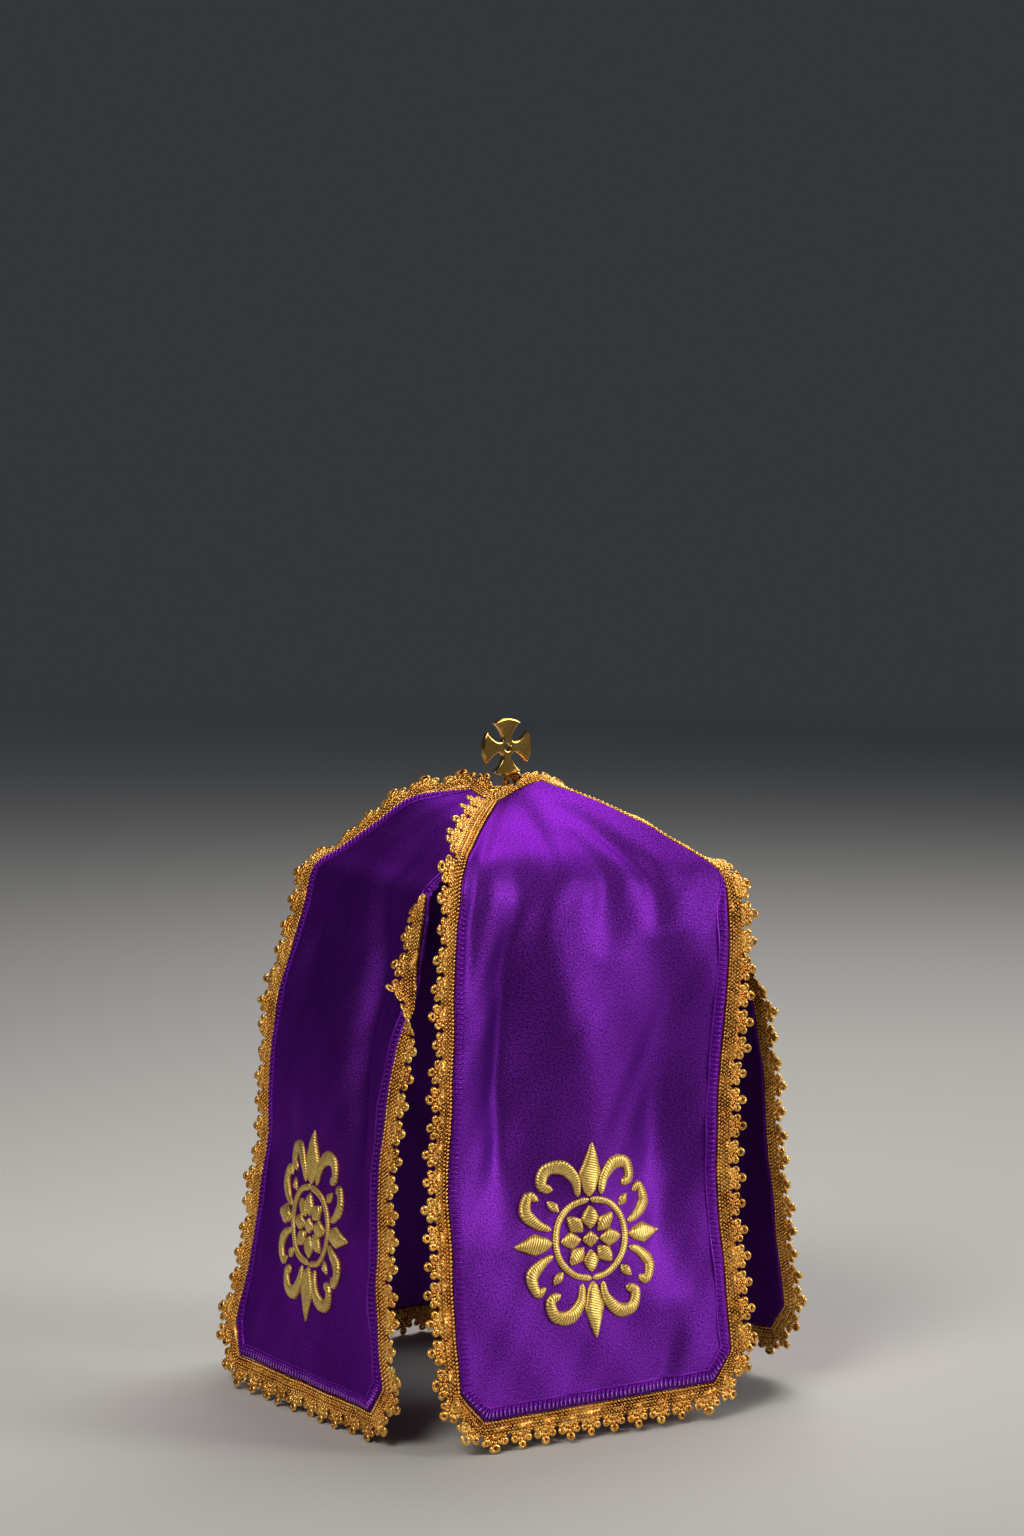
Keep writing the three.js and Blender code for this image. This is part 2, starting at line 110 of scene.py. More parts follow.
# The hem's ribs, piping and stitches, in millimetres, degrees and shares of the hem's width or pitch.
RIB_LENGTH, RIB_FILL, RIB_HEIGHT = 1.1, 0.86, 1.7
PIPING_GAP, PIPING_RADIUS, PIPING_SIDES = 0.35, 0.42, 6
STITCH_PLACE, STITCH_LENGTH, STITCH_RISE, STITCH_THICKNESS, STITCH_TURN = 0.36, 0.62, 0.45, 0.5, 86
HEM_ROUGHNESS, THREAD_ROUGHNESS = 0.36, 0.5

# A bead's form as shares of its size, and the painted shade of beads, cords and grounds, darkest in the deeps.
BEAD_LEVEL, BEAD_GIRTH = 0.27, 0.43
BEAD_PAINTED_SHADE, CORD_PAINTED_SHADE, GROUND_PAINTED_SHADE = 0.4, 0.62, 0.3

# How far places are nudged along a seam, in steps, and the distance that joins points, in metres.
SEAM_NUDGE = 0.0001
JOIN_WITHIN = 0.000002


def rows_of(kind, table):
    """The rows of a table by side, each under its names."""
    return {side: [kind(*row) for row in rows] for side, rows in table.items()}

# One level of a panel: the height and reach of its middle, half its width, its turn about the upright,
# its shift to the right, and how far its right edge stands above its left edge.
Section = namedtuple("Section", "height reach half yaw shift rise")
SECTIONS = rows_of(Section, {
    "front": [
        (218, 9.4, 8.8, 0, 0, 6), (211.2, 24, 23.4, 1, 0.2, 5.3), (204.1, 36.6, 35.4, 2.2, 1.2, 2.2),
        (197, 46.6, 45.4, 3, 2.6, -1.7), (189, 52.8, 51.8, 3.6, 3.8, -0.6), (176, 56.8, 53.4, 4.2, 1.8, 0),
        (160, 58.8, 53.7, 4.6, 0.2, 0), (140, 60, 53.2, 3.8, -1.5, 0), (116, 60.6, 53.1, 3, -3.4, 0),
        (93, 61.5, 53.3, 2.8, -5.1, 0), (66.7, 66.2, 53.8, 1.8, -6.6, 0), (41, 72.1, 54.2, 1.6, -8, 1),
        (12.2, 78.4, 54.4, 1.8, -9.2, 2),
    ],
    "left": [
        (214.5, 9.4, 8.8, 0, 0, -5), (209.6, 24, 23.4, 0, 0, -8.4), (201.8, 36, 35, 1.5, -0.3, -3.2),
        (194.2, 46.3, 45, 3, -0.6, 1.6), (187.4, 55.2, 51, 5.2, -1.2, 1.4), (173, 58.7, 52.2, 5, -0.8, 0),
        (155, 63.2, 52.5, 3.8, -0.8, 0), (136.6, 69.8, 52.5, 4.6, -1, 0), (114.6, 73.2, 52.5, 6, -1, 0),
        (88.7, 75.2, 52.5, 6.4, -1, 0), (63, 77.8, 53, 5, -0.5, 0), (40.7, 80.2, 53.5, 2.8, 0, 0),
        (11.2, 82.8, 54.4, -2.1, 0.3, 0),
    ],
    "right": [
        (219.1, 9.4, 8.8, 0, 0, 1), (211.6, 24, 23.4, 0, 0, 3.2), (203.6, 36.5, 35.5, -0.5, 0.3, 3.6),
        (195.6, 47.2, 46, -1.5, 0.6, 2), (187, 56.2, 52, -2, 0.6, 1), (154, 65.5, 52.8, -3, 0.6, 0),
        (136, 70.5, 52.8, -3.5, 0.6, 0), (113, 73.4, 52.8, -4, 0.6, 0), (87, 75.8, 52.8, -4, 0.6, 0),
        (60, 79, 53.2, -3.5, 0.5, -1), (38, 82, 53.6, -3.2, 0.5, -5), (15.3, 84.4, 54, -2.2, 0.4, -8),
    ],
    "back": [
        (214.8, 9.4, 8.8, 0, 0, -2.5), (210.2, 24, 23.2, 0, 0, 0), (201.4, 36, 35, 0.5, 0, -2.8),
        (191, 46.5, 43.6, 0, -1, -4.5), (183.6, 55, 49, -0.5, -1.6, -1.5), (150, 61.5, 52.4, 1.5, 0.4, 0),
        (128, 63, 53, 2, 1.2, 0), (104, 64.5, 53, 1.5, 1.6, 0), (80, 67.5, 53, 1.5, 2, 0),
        (55, 71.5, 53.4, 2, 2.4, 0), (32, 75.3, 53.8, 2, 2.8, 0), (11.2, 78.6, 54, 2, 3, 0),
    ],
})

# One soft trough (a ridge where the depth is below zero): its heights, where it lies across the panel at
# each end as a share of the half width, its width and its depth.
Fold = namedtuple("Fold", "top bottom start end width depth")
FOLDS = rows_of(Fold, {
    "front": [
        (216, 66, -0.55, -0.6, 7.5, 6), (186, 70, -0.54, -0.52, 11, 5), (214, 170, 0.42, 0.46, 5.5, 3),
        (206, 164, 0.14, 0.05, 6, 2.4), (172, 42, 0.56, 0.6, 12, 6), (198, 48, -0.46, 0.26, 13, -2.5),
    ],
    "left": [
        (208, 70, 0.2, 0.68, 9, 6), (196, 110, -0.66, -0.6, 10, 2.5), (150, 30, -0.1, -0.2, 18, -3),
    ],
    "right": [
        (208, 66, -0.2, -0.66, 9, 6), (198, 90, 0.6, 0.55, 11, 3), (150, 30, 0.1, 0.2, 18, -3),
    ],
    "back": [
        (210, 60, 0.4, 0.46, 11, 6), (206, 120, -0.45, -0.5, 9, 4), (140, 24, -0.2, -0.1, 16, -3),
    ],
})

# Fine creases that only the cloth itself shows.
CREASES = rows_of(Fold, {
    "front": [
        (219, 140, -0.87, -0.9, 3.6, 2.2), (216, 186, -0.16, -0.32, 4, 1.3), (172, 60, 0.0, 0.06, 9, -1.3),
        (44, 12, 0.6, 0.5, 5, 1.2), (206, 70, -0.8, -0.78, 8, 2.6),
    ],
    "left": [
        (206, 120, 0.5, 0.8, 5, 1.6), (200, 140, -0.3, -0.24, 6, 1.0), (110, 30, 0.5, 0.42, 7, -1.0),
    ],
    "right": [
        (206, 120, -0.5, -0.8, 5, 1.4), (200, 140, 0.3, 0.24, 6, 1.0),
    ],
    "back": [
        (208, 130, 0.1, 0.05, 5, 1.3), (190, 90, 0.74, 0.7, 6, 1.2),
    ],
})

# Slow unevenness of the cloth: its height and its two wave lengths, in millimetres.
UNEVEN = ((0.22, 31, 47), (0.16, -19, 37), (0.1, 13, -23))

# How the lace is carried along one stretch of an edge: its turn at both ends, inwards from the panel's own
# plane, and its width as a share of the full width where it is bunched.
Stretch = namedtuple("Stretch", "edge start end share", defaults=(1.0,))
LACE = rows_of(Stretch, {
    "front": [
        ("leftHip", -8, -14), ("leftSide", -14, 2), ("hem", 0, 0), ("rightSide", -6, -10),
        ("rightHip", 40, 44), ("neck", -20, -20, 0.36),
    ],
    "left": [
        ("neckLeft", -30, -30, 0.72), ("leftHip", -16, 12), ("leftSide", -10, -12), ("hem", -14, -2),
        ("rightSideLower", 10, 16), ("rightTwist", 10, -150), ("rightFlip", -160, -164),
    ],
    "right": [
        ("leftSideClear", 0, -4), ("hem", 0, 0), ("rightSide", -20, -30), ("rightHip", -16, -16),
        ("neckRight", -24, -22, 0.46),
    ],
    "back": [
        ("leftSideClear", -44, -10), ("hem", 0, 0), ("rightSideClear", -10, -44),
    ],
})

# The edges of each panel whose rolled hem shows its ribs, and those with piping inside it.
WHOLE_BORDER = ["leftHip", "leftSide", "hem", "rightSide", "rightHip"]
HEMMED = {side: WHOLE_BORDER for side in SIDES}
HEMMED["front"] = ["leftSide", "hem", "rightSide"]
PIPED = {side: WHOLE_BORDER for side in SIDES}
PIPED["front"] = ["hem", "rightSide"]

# The finial cross, in millimetres.
CROSS_RADIUS = 10.4
CROSS_THICKNESS = 2.3
CROSS_HEIGHT = 233.0
CROSS_YAW = 4.0
EYE_RADIUS = 1.6
NOTCH_REACH = 8.4
NOTCH_LONG = 5.2
NOTCH_WIDE = 2.35
EYE_SIDES = 40
EYE_STEPS = ((0.4, 0.0), (0.25, 0.1), (0.0, 0.06), (-0.15, -0.46))
POST_RADIUS = 1.1
POST_FOOT = 217.0
POST_COLLAR = 1.5
POST_SINK = 1.2
BEVEL_STEPS = ((1, 0), (0.45, 0.12), (0.12, 0.45), (0, 1))
NOTCH_SEARCH, NOTCH_STEPS, RIM_STEPS = 2000, 45, 18
CROSS_CREASE = 11

# Gold thread: painted glint colour, fleck strength, and the slant and painted groove shade of laid threads.
PAINTED_GOLD_GLINT = (1.0, 0.65, 0.17)
FLECK_GAIN = 2.5
THREAD_SLANT = 0.35
THREAD_PAINTED_SHADE = 0.18

# The room's tint and the floor: its radius, where its painted whitening far off starts and ends, in metres, and
# its sides.
ROOM_TINT = (0.8, 0.88, 1.0)
STAGE_RADIUS = 20.0
STAGE_FADE = (0.9, 3.2)
STAGE_SIDES = 72

# Each light: where it stands in degrees and metres, its size, the height it faces, its beam and colour.
Light = namedtuple("Light", "azimuth elevation distance size aim spread colour")
LIGHTS = {
    "key": Light(46, 18, 0.95, 0.55, 0.19, 40, (1.0, 0.96, 0.9)),
    "fill": Light(-62, 42, 1.5, 0.7, 0.13, 50, (1.0, 0.95, 0.87)),
    "top": Light(126, 58, 1.3, 0.9, 0.12, 180, (1.0, 0.97, 0.92)),
}

# The camera, in millimetres and degrees, with its clipping in metres.
CAMERA_SENSOR = 36.0
CAMERA_CLIP = (0.05, 30.0)
CAMERA_AIM = (1.76, -1.06, 225.4)
CAMERA_AZIMUTH = -31.0
CAMERA_ELEVATION = 5.51
CAMERA_DISTANCE = 1341.7
CAMERA_LENS = 87.46


def unit(vectors):
    """Vectors scaled to length 1 along their last axis."""
    return vectors / np.maximum(np.linalg.norm(vectors, axis=-1, keepdims=True), 1e-12)


class Drape:
    """The hanging surface of a panel, by place across (-1 to 1) and distance down from the neck (mm)."""

    def __init__(self, side):
        self.side = side
        self.rows = np.array(SECTIONS[side], float)
        steps = np.hypot(np.diff(self.rows[:, 0]), np.diff(self.rows[:, 1]))
        self.down = np.concatenate([[0.0], np.cumsum(steps)])
        self.slopes = self.column_slopes(steps)
        self.shoulder = self.down[SHOULDER]
        self.hem = self.down[-1]
        self.corner = self.hem - CORNER_RISE
        self.roof_rows = round(self.shoulder / ROW_PITCH)
        self.side_rows = round((self.corner - self.shoulder) / ROW_PITCH)
        turn = math.radians(TURNS[side])
        cos, sin = math.cos(turn), math.sin(turn)
        self.turn = np.array([[cos, -sin, 0], [sin, cos, 0], [0, 0, 1]])

    def column_slopes(self, steps):
        """The slope of each column at each row, level where the column turns."""
        rates = np.diff(self.rows, axis=0) / steps[:, None]
        slopes = np.zeros_like(self.rows)
        slopes[0], slopes[-1] = rates[0], rates[-1]
        for i in range(1, len(self.rows) - 1):
            before = 2 * steps[i] + steps[i - 1]
            after = steps[i] + 2 * steps[i - 1]
            same = rates[i - 1] * rates[i] > 0
            mean = before / np.where(same, rates[i - 1], 1) + after / np.where(same, rates[i], 1)
            slopes[i] = np.where(same, (before + after) / mean, 0)
        return slopes

    def level(self, down):
        """The panel's section at a distance down."""
        i = np.clip(np.searchsorted(self.down[1:], down), 0, len(self.down) - 2)
        step = self.down[i + 1] - self.down[i]
        s = (down - self.down[i]) / step
        rise = (s * s * (3 - 2 * s))[..., None]
        leave = (s * (1 - s) ** 2 * step)[..., None]
        arrive = (s * s * (s - 1) * step)[..., None]
        values = self.rows[i] * (1 - rise) + self.rows[i + 1] * rise
        values = values + self.slopes[i] * leave + self.slopes[i + 1] * arrive
        return Section(*np.moveaxis(values, -1, 0))

    def half_width(self, down):
        """Half the cloth's width at a distance down, less the clipped corners."""
        cut = np.clip((down - self.corner) / CORNER_RISE, 0, None) * CORNER_CUT
        return self.level(down).half - cut

    def dent(self, across, half, height):
        """How far the folds push the cloth in."""
        depth = np.zeros_like(height)
        for f in FOLDS[self.side] + CREASES[self.side]:
            s = np.clip((f.top - height) / (f.top - f.bottom), 0, 1)
            centre = (f.start + (f.end - f.start) * s) * half
            depth += f.depth * np.sin(np.pi * s) * np.exp(-(((across * half - centre) / f.width) ** 2))
        for size, wide, tall in UNEVEN:
            depth += size * np.sin(2 * np.pi * (across * half / wide + height / tall))
        return depth

    def point(self, across, down):
        """Points of the middle surface, in mm."""
        across, down = np.broadcast_arrays(np.asarray(across, float), np.asarray(down, float))
        at = self.level(down)
        half = self.half_width(down)
        yaw = np.radians(at.yaw)
        above = self.level(np.maximum(0, down - SLOPE_STEP))
        below = self.level(np.minimum(self.hem, down + SLOPE_STEP))
        out, fall = below.reach - above.reach, below.height - above.height
        size = np.hypot(out, fall)
        height = at.height + at.rise / 2 * across
        dent = self.dent(across, half, height)
        x = at.shift + half * np.cos(yaw) * across
        y = -(at.reach + half * np.sin(yaw) * across + dent * fall / size)
        z = height - dent * out / size
        return np.stack([x, y, z], axis=-1) @ self.turn.T

    def normal(self, across, down):
        """The way the cloth's right side faces."""
        across, down = np.broadcast_arrays(np.asarray(across, float), np.asarray(down, float))
        right = self.point(across + NORMAL_ACROSS, down) - self.point(across - NORMAL_ACROSS, down)
        low, high = np.minimum(down + NORMAL_DOWN, self.hem), np.maximum(down - NORMAL_DOWN, 0)
        fall = self.point(across, low) - self.point(across, high)
        return unit(np.cross(fall, right))

    def row_distance(self, row):
        """The distance down of a row of the solid's grid."""
        corner = self.roof_rows + self.side_rows
        rows = [0, self.roof_rows, corner, corner + 1]
        return np.interp(row, rows, [0, self.shoulder, self.corner, self.hem])


DRAPES = {side: Drape(side) for side in SIDES}


def edge_places(drape, edge):
    """The rows and columns that one stretch of lace passes, in the order it is sewn."""
    roof, corner = drape.roof_rows, drape.roof_rows + drape.side_rows
    flip = roof + 1 + FLIP_ROWS
    twist = flip + TWIST_ROWS
    middle = COLUMNS // 2
    downs = {
        "leftHip": (0, roof),
        "leftSide": (roof, corner),
        "leftSideClear": (roof + CLEAR_ROWS, corner),
    }
    ups = {
        "rightSide": (corner, roof),
        "rightSideLower": (corner, twist),
        "rightSideClear": (corner, roof + CLEAR_ROWS),
        "rightTwist": (twist, flip),
        "rightFlip": (flip, roof),
        "rightHip": (roof, 0),
    }
    necks = {
        "neck": (COLUMNS, middle, 0),
        "neckLeft": (COLUMNS - NECK_CLEAR, middle - 1, 0),
        "neckRight": (COLUMNS, middle + 1, NECK_CLEAR),
    }
    if edge in downs:
        return [(row, 0) for row in range(downs[edge][0], downs[edge][1] + 1)]
    if edge in ups:
        return [(row, COLUMNS) for row in range(ups[edge][0], ups[edge][1] - 1, -1)]
    if edge in necks:
        return [(0, column) for column in necks[edge]]
    ends = [(corner, 0), (corner + 0.5, 0)], [(corner + 0.5, COLUMNS), (corner, COLUMNS)]
    return ends[0] + [(corner + 1, column) for column in range(COLUMNS + 1)] + ends[1]


# A sewn line: its points, the ways it leaves the edge and faces, in mm, its share of the full width,
# and whether it closes on itself.
Seam = namedtuple("Seam", "roots outs faces shares closed")


def along_path(points, reach, closed):
    """The direction of a path at each point, over a few points each way."""
    if closed:
        return unit(np.roll(points, -reach, axis=0) - np.roll(points, reach, axis=0))
    index = np.arange(len(points))
    ahead = points[np.minimum(index + reach, len(points) - 1)]
    return unit(ahead - points[np.maximum(index - reach, 0)])


def lace_seam(side, steps):
    """The seam that a panel's lace is sewn along, with a number of steps to each scallop."""
    drape, closed = DRAPES[side], side == "front"
    stops = []
    for stretch in LACE[side]:
        places = edge_places(drape, stretch.edge)
        turns = np.linspace(stretch.start, stretch.end, len(places))
        for k, ((row, column), turn) in enumerate(zip(places, turns)):
            stop = [2 * column / COLUMNS - 1, drape.row_distance(row), turn, stretch.share]
            if k == 0 and stops:
                stops[-1][2:] = [(stops[-1][2] + turn) / 2, (stops[-1][3] + stretch.share) / 2]
            else:
                stops.append(stop)
    if closed:
        stops.pop()
    stops = np.array(stops)
    index = np.arange(len(stops))
    stops[:, 2] = np.radians(stops[:, 2] + LACE_WAVER * np.sin(index * LACE_WAVER_STEP))
    lift = np.where(np.cos(stops[:, 2]) < 0, (CLOTH_THICKNESS + LACE_THICKNESS) / 2 + SEWING_GAP, 0)
    clear = SEWING_GAP + LACE_THICKNESS / 2 * np.abs(np.sin(stops[:, 2]))
    stops = np.column_stack([stops, lift, clear])
    if closed:
        stops = np.vstack([stops, stops[:1]])
    fine = np.linspace(0, len(stops) - 1, (len(stops) - 1) * steps + 1)
    across, down, turn, share, lift, clear = (np.interp(fine, np.arange(len(stops)), s) for s in stops.T)
    points, normals = drape.point(across, down), drape.normal(across, down)
    if closed:
        points, normals = points[:-1], normals[:-1]
        turn, share, lift, clear = turn[:-1], share[:-1], lift[:-1], clear[:-1]
    else:
        ends = np.minimum(np.arange(len(share)), np.arange(len(share))[::-1]) / steps
        share = share * np.clip(ends, LACE_END, 1)
    away = unit(np.cross(along_path(points, steps, closed), normals))
    cos, sin = np.cos(turn)[:, None], np.sin(turn)[:, None]
    roots = points + away * clear[:, None] + normals * lift[:, None]
    return Seam(roots, away * cos - normals * sin, normals * cos + away * sin, share, closed)


def band_seam(side, pitch, inset, parts):
    """A line just inside a panel's border, with points a pitch apart, that faces in along the cloth."""
    drape = DRAPES[side]
    stops = {
        "leftHip": [(-1, 0), (-1, drape.shoulder)],
        "leftSide": [(-1, drape.shoulder), (-1, drape.corner)],
        "hem": [(-1, drape.corner), (-1, drape.hem), (1, drape.hem), (1, drape.corner)],
        "rightSide": [(1, drape.corner), (1, drape.shoulder)],
        "rightHip": [(1, drape.shoulder), (1, 0)],
    }
    path = [stop for k, part in enumerate(parts) for stop in stops[part][1 if k else 0:]]
    dense = []
    for (a0, d0), (a1, d1) in zip(path, path[1:]):
        share = np.linspace(0, 1, BORDER_STEPS, endpoint=False)[:, None]
        dense.append(np.hstack([a0 + (a1 - a0) * share, d0 + (d1 - d0) * share]))
    dense = np.vstack(dense + [[path[-1]]])
    half = drape.half_width(dense[:, 1])
    across = dense[:, 0] * (1 - inset / half)
    down = np.clip(dense[:, 1], inset, drape.hem - inset)
    points = drape.point(across, down)
    length = np.concatenate([[0], np.cumsum(np.linalg.norm(np.diff(points, axis=0), axis=1))])
    even = np.linspace(0, length[-1], int(length[-1] / pitch) + 1)
    across, down = np.interp(even, length, across), np.interp(even, length, down)
    points, normals = drape.point(across, down), drape.normal(across, down)
    inward = unit(np.cross(normals, along_path(points, BORDER_REACH, False)))
    count = np.arange(len(points))
    shares = np.clip((np.minimum(count, count[::-1]) + 1) / BAND_TAPER, BAND_END, 1)
    return Seam(points + normals * CLOTH_THICKNESS / 2, inward, normals, shares, False)


class Motif:
    """A small mesh in millimetres, built up from beads, loops and webs, with painted shade from deep to crest.
    """

    def __init__(self):
        self.points, self.faces, self.shades, self.count = [], [], [], 0

    def add(self, points, faces, shades):
        self.points.append(np.asarray(points, float))
        self.shades.append(np.broadcast_to(shades, len(points)))
        self.faces += [[i + self.count for i in face] for face in faces]
        self.count += len(points)

    def rings(self, rings, sides, closed, cap=True):
        """Faces between rings of points, joined end to end or capped."""
        faces = []
        for r in range(rings if closed else rings - 1):
            for k in range(sides):
                near, far = r * sides, (r + 1) % rings * sides
                after = (k + 1) % sides
                faces.append([near + k, near + after, far + after, far + k])
        if not closed and cap:
            faces += [list(range(sides))[::-1], list(range((rings - 1) * sides, rings * sides))]
        return faces

    def bead(self, centre, size, angle=0.0, sides=6):
        """An oval bead of a length, width and height, turned in its plane by an angle in degrees."""
        turn = np.radians(angle)
        ring = np.arange(sides) * 2 * np.pi / sides + np.pi / 2
        points = [[-0.5, 0, 0]]
        for level in (-BEAD_LEVEL, BEAD_LEVEL):
            points += [[level, BEAD_GIRTH * np.cos(r), BEAD_GIRTH * np.sin(r)] for r in ring]
        points = np.array(points + [[0.5, 0, 0]])
        # Painted shade: darker at the bead's sides, lighter along its top and underside.
        shades = BEAD_PAINTED_SHADE + (1 - BEAD_PAINTED_SHADE) * np.abs(points[:, 2]) / BEAD_GIRTH
        points = points * size
        cos, sin = np.cos(turn), np.sin(turn)
        points = points @ np.array([[cos, sin, 0], [-sin, cos, 0], [0, 0, 1]])
        last = len(points) - 1
        faces = []
        for k in range(sides):
            after = (k + 1) % sides
            faces.append([0, 1 + after, 1 + k])
            faces.append([1 + k, 1 + after, 1 + sides + after, 1 + sides + k])
            faces.append([last, 1 + sides + k, 1 + sides + after])
        self.add(points + centre, faces, shades)

    def loop(self, centre, radius, cord, steps=12, sides=5):
        """A ring of cord lying in the plane."""
        t = np.repeat(np.arange(steps) * 2 * np.pi / steps, sides)
        p = np.tile(np.arange(sides) * 2 * np.pi / sides, steps)
        reach = radius + cord * np.cos(p)
        points = np.stack([reach * np.sin(t), reach * np.cos(t), cord * np.sin(p)], axis=-1)
        # Painted shade: lighter on the cord's outer side, darker on its inner side.
        shades = CORD_PAINTED_SHADE + (1 - CORD_PAINTED_SHADE) * np.cos(p)
        self.add(points + centre, self.rings(steps, sides, True), shades)

    def web(self, xs, outline, thickness):
        """A thin sheet from the seam out to an outline."""
        rings = []
        for x, y in zip(xs, outline):
            t = thickness / 2
            rings += [[x, -LACE_TUCK, -t], [x, y, -t], [x, y, t], [x, -LACE_TUCK, t]]
        # The ground gets one dark painted shade, as if it lay in shade between the beads.
        self.add(rings, self.rings(len(xs), 4, False), GROUND_PAINTED_SHADE)

    def mesh(self, name, pitch):
        """The motif as a mesh in metres, its length along the seam counted in repeats."""
        points = np.vstack(self.points) * [1 / pitch, MM, MM]
        mesh = bpy.data.meshes.new(name)
        mesh.from_pydata(points.tolist(), [], self.faces)
        # The shade attribute holds the painted shade, read by the gold thread's colour.
        shade = mesh.attributes.new("shade", "FLOAT", "POINT")
        shade.data.foreach_set("value", np.concatenate(self.shades))
        mesh.update()
        return mesh


def lace_motif(pitch):
    """One scallop: a rope edge, a worked braid, a fan of petals and looped picots."""
    motif = Motif()
    mid, space = pitch / 2, pitch / SCALLOP_BEADS
    xs = np.linspace(0, pitch, GROUND_STEPS)
    swell = np.sin(np.pi * xs / pitch) ** GROUND_ROUND
    motif.web(xs, GROUND_DEPTH + GROUND_SWELL * swell, GROUND_THICKNESS)
    for k in range(SCALLOP_BEADS):
        motif.bead([(k + 0.5) * space, ROPE_PLACE, ROPE_RISE], ROPE_SIZE, ROPE_TURN)
    for row in range(BRAID_ROWS):
        lean = -1 if row % 2 else 1
        for k in range(SCALLOP_BEADS):
            spot = [(k + 0.5 - 0.25 * lean) * space, BRAID_PLACE + row * BRAID_PITCH, 0]
            motif.bead(spot, BRAID_SIZE, BRAID_TURN * lean, sides=BRAID_SIDES)
    for angle in PETAL_ANGLES:
        lean = np.radians(angle)
        for distance, length, width in PETALS:
            centre = [mid + distance * np.sin(lean), PETAL_PLACE + distance * np.cos(lean), PETAL_RISE]
            motif.bead(centre, [length, width, PETAL_HEIGHT], 90 - angle)
    for along, place, radius, cord in LOOPS:
        motif.loop([mid + along, place, 0], radius, cord)
    return motif.mesh("lace scallop", pitch)

def rib_motif(pitch, width):
    """One rib of the rolled hem, lying across it."""
    motif = Motif()
    motif.bead([pitch / 2, width / 2, 0.0], [width * RIB_LENGTH, pitch * RIB_FILL, RIB_HEIGHT], 90)
    return motif.mesh("hem rib", pitch)

def piping_motif(pitch, place):
    """A short length of the fine piping inside the hem."""
    motif = Motif()
    turns = np.arange(PIPING_SIDES) * 2 * np.pi / PIPING_SIDES
    ring = [[0, place + PIPING_RADIUS * np.cos(t), PIPING_RADIUS * np.sin(t)] for t in turns]
    points = np.vstack([ring, np.array(ring) + [pitch, 0, 0]])
    motif.add(points, motif.rings(2, PIPING_SIDES, False, cap=False), 1.0)
    return motif.mesh("piping length", pitch)

def stitch_motif(pitch, width):
    """One overcast stitch over the hem."""
    motif = Motif()
    size = [width * STITCH_LENGTH, STITCH_THICKNESS, STITCH_THICKNESS]
    motif.bead([0, width * STITCH_PLACE, STITCH_RISE], size, STITCH_TURN)
    return motif.mesh("overcast stitch", pitch)

def enabled(sockets, name):
    """The socket of that name that its node now uses."""
    return next(s for s in sockets if s.name == name and s.enabled)


class TreeMaker:
    """Adds nodes to a tree and joins them."""

    def __init__(self, tree):
        self.tree = tree

    def node(self, kind, inputs=None, **settings):
        made = self.tree.nodes.new(kind)
        for name, value in settings.items():
            setattr(made, name, value)
        for name, value in (inputs or {}).items():
            socket = made.inputs[name] if isinstance(name, int) else enabled(made.inputs, name)
            if isinstance(value, bpy.types.NodeSocket):
                self.tree.links.new(value, socket)
            else:
                socket.default_value = value
        return made

    def math(self, operation, a, b=0.0):
        return self.node("ShaderNodeMath", {0: a, 1: b}, operation=operation).outputs[0]

    def vector(self, operation, a, b):
        return self.node("ShaderNodeVectorMath", {0: a, 1: b}, operation=operation).outputs[0]

    def scale(self, a, factor):
        made = self.node("ShaderNodeVectorMath", {0: a, "Scale": factor}, operation="SCALE")
        return made.outputs[0]

    def ramp(self, factor, stops):
        made = self.node("ShaderNodeValToRGB", {"Fac": factor})
        ramp = made.color_ramp
        while len(ramp.elements) < len(stops):
            ramp.elements.new(0.5)
        for element, (place, colour) in zip(ramp.elements, stops):
            element.position = place
            element.color = (*colour, 1.0)
        return made.outputs["Color"]

    def noise(self, vector, scale, detail):
        made = self.node("ShaderNodeTexNoise", {"Vector": vector, "Scale": scale, "Detail": detail})
        return made.outputs[0]

    def blend(self, a, b, share):
        return self.math("ADD", self.math("MULTIPLY", a, share), self.math("MULTIPLY", b, 1 - share))


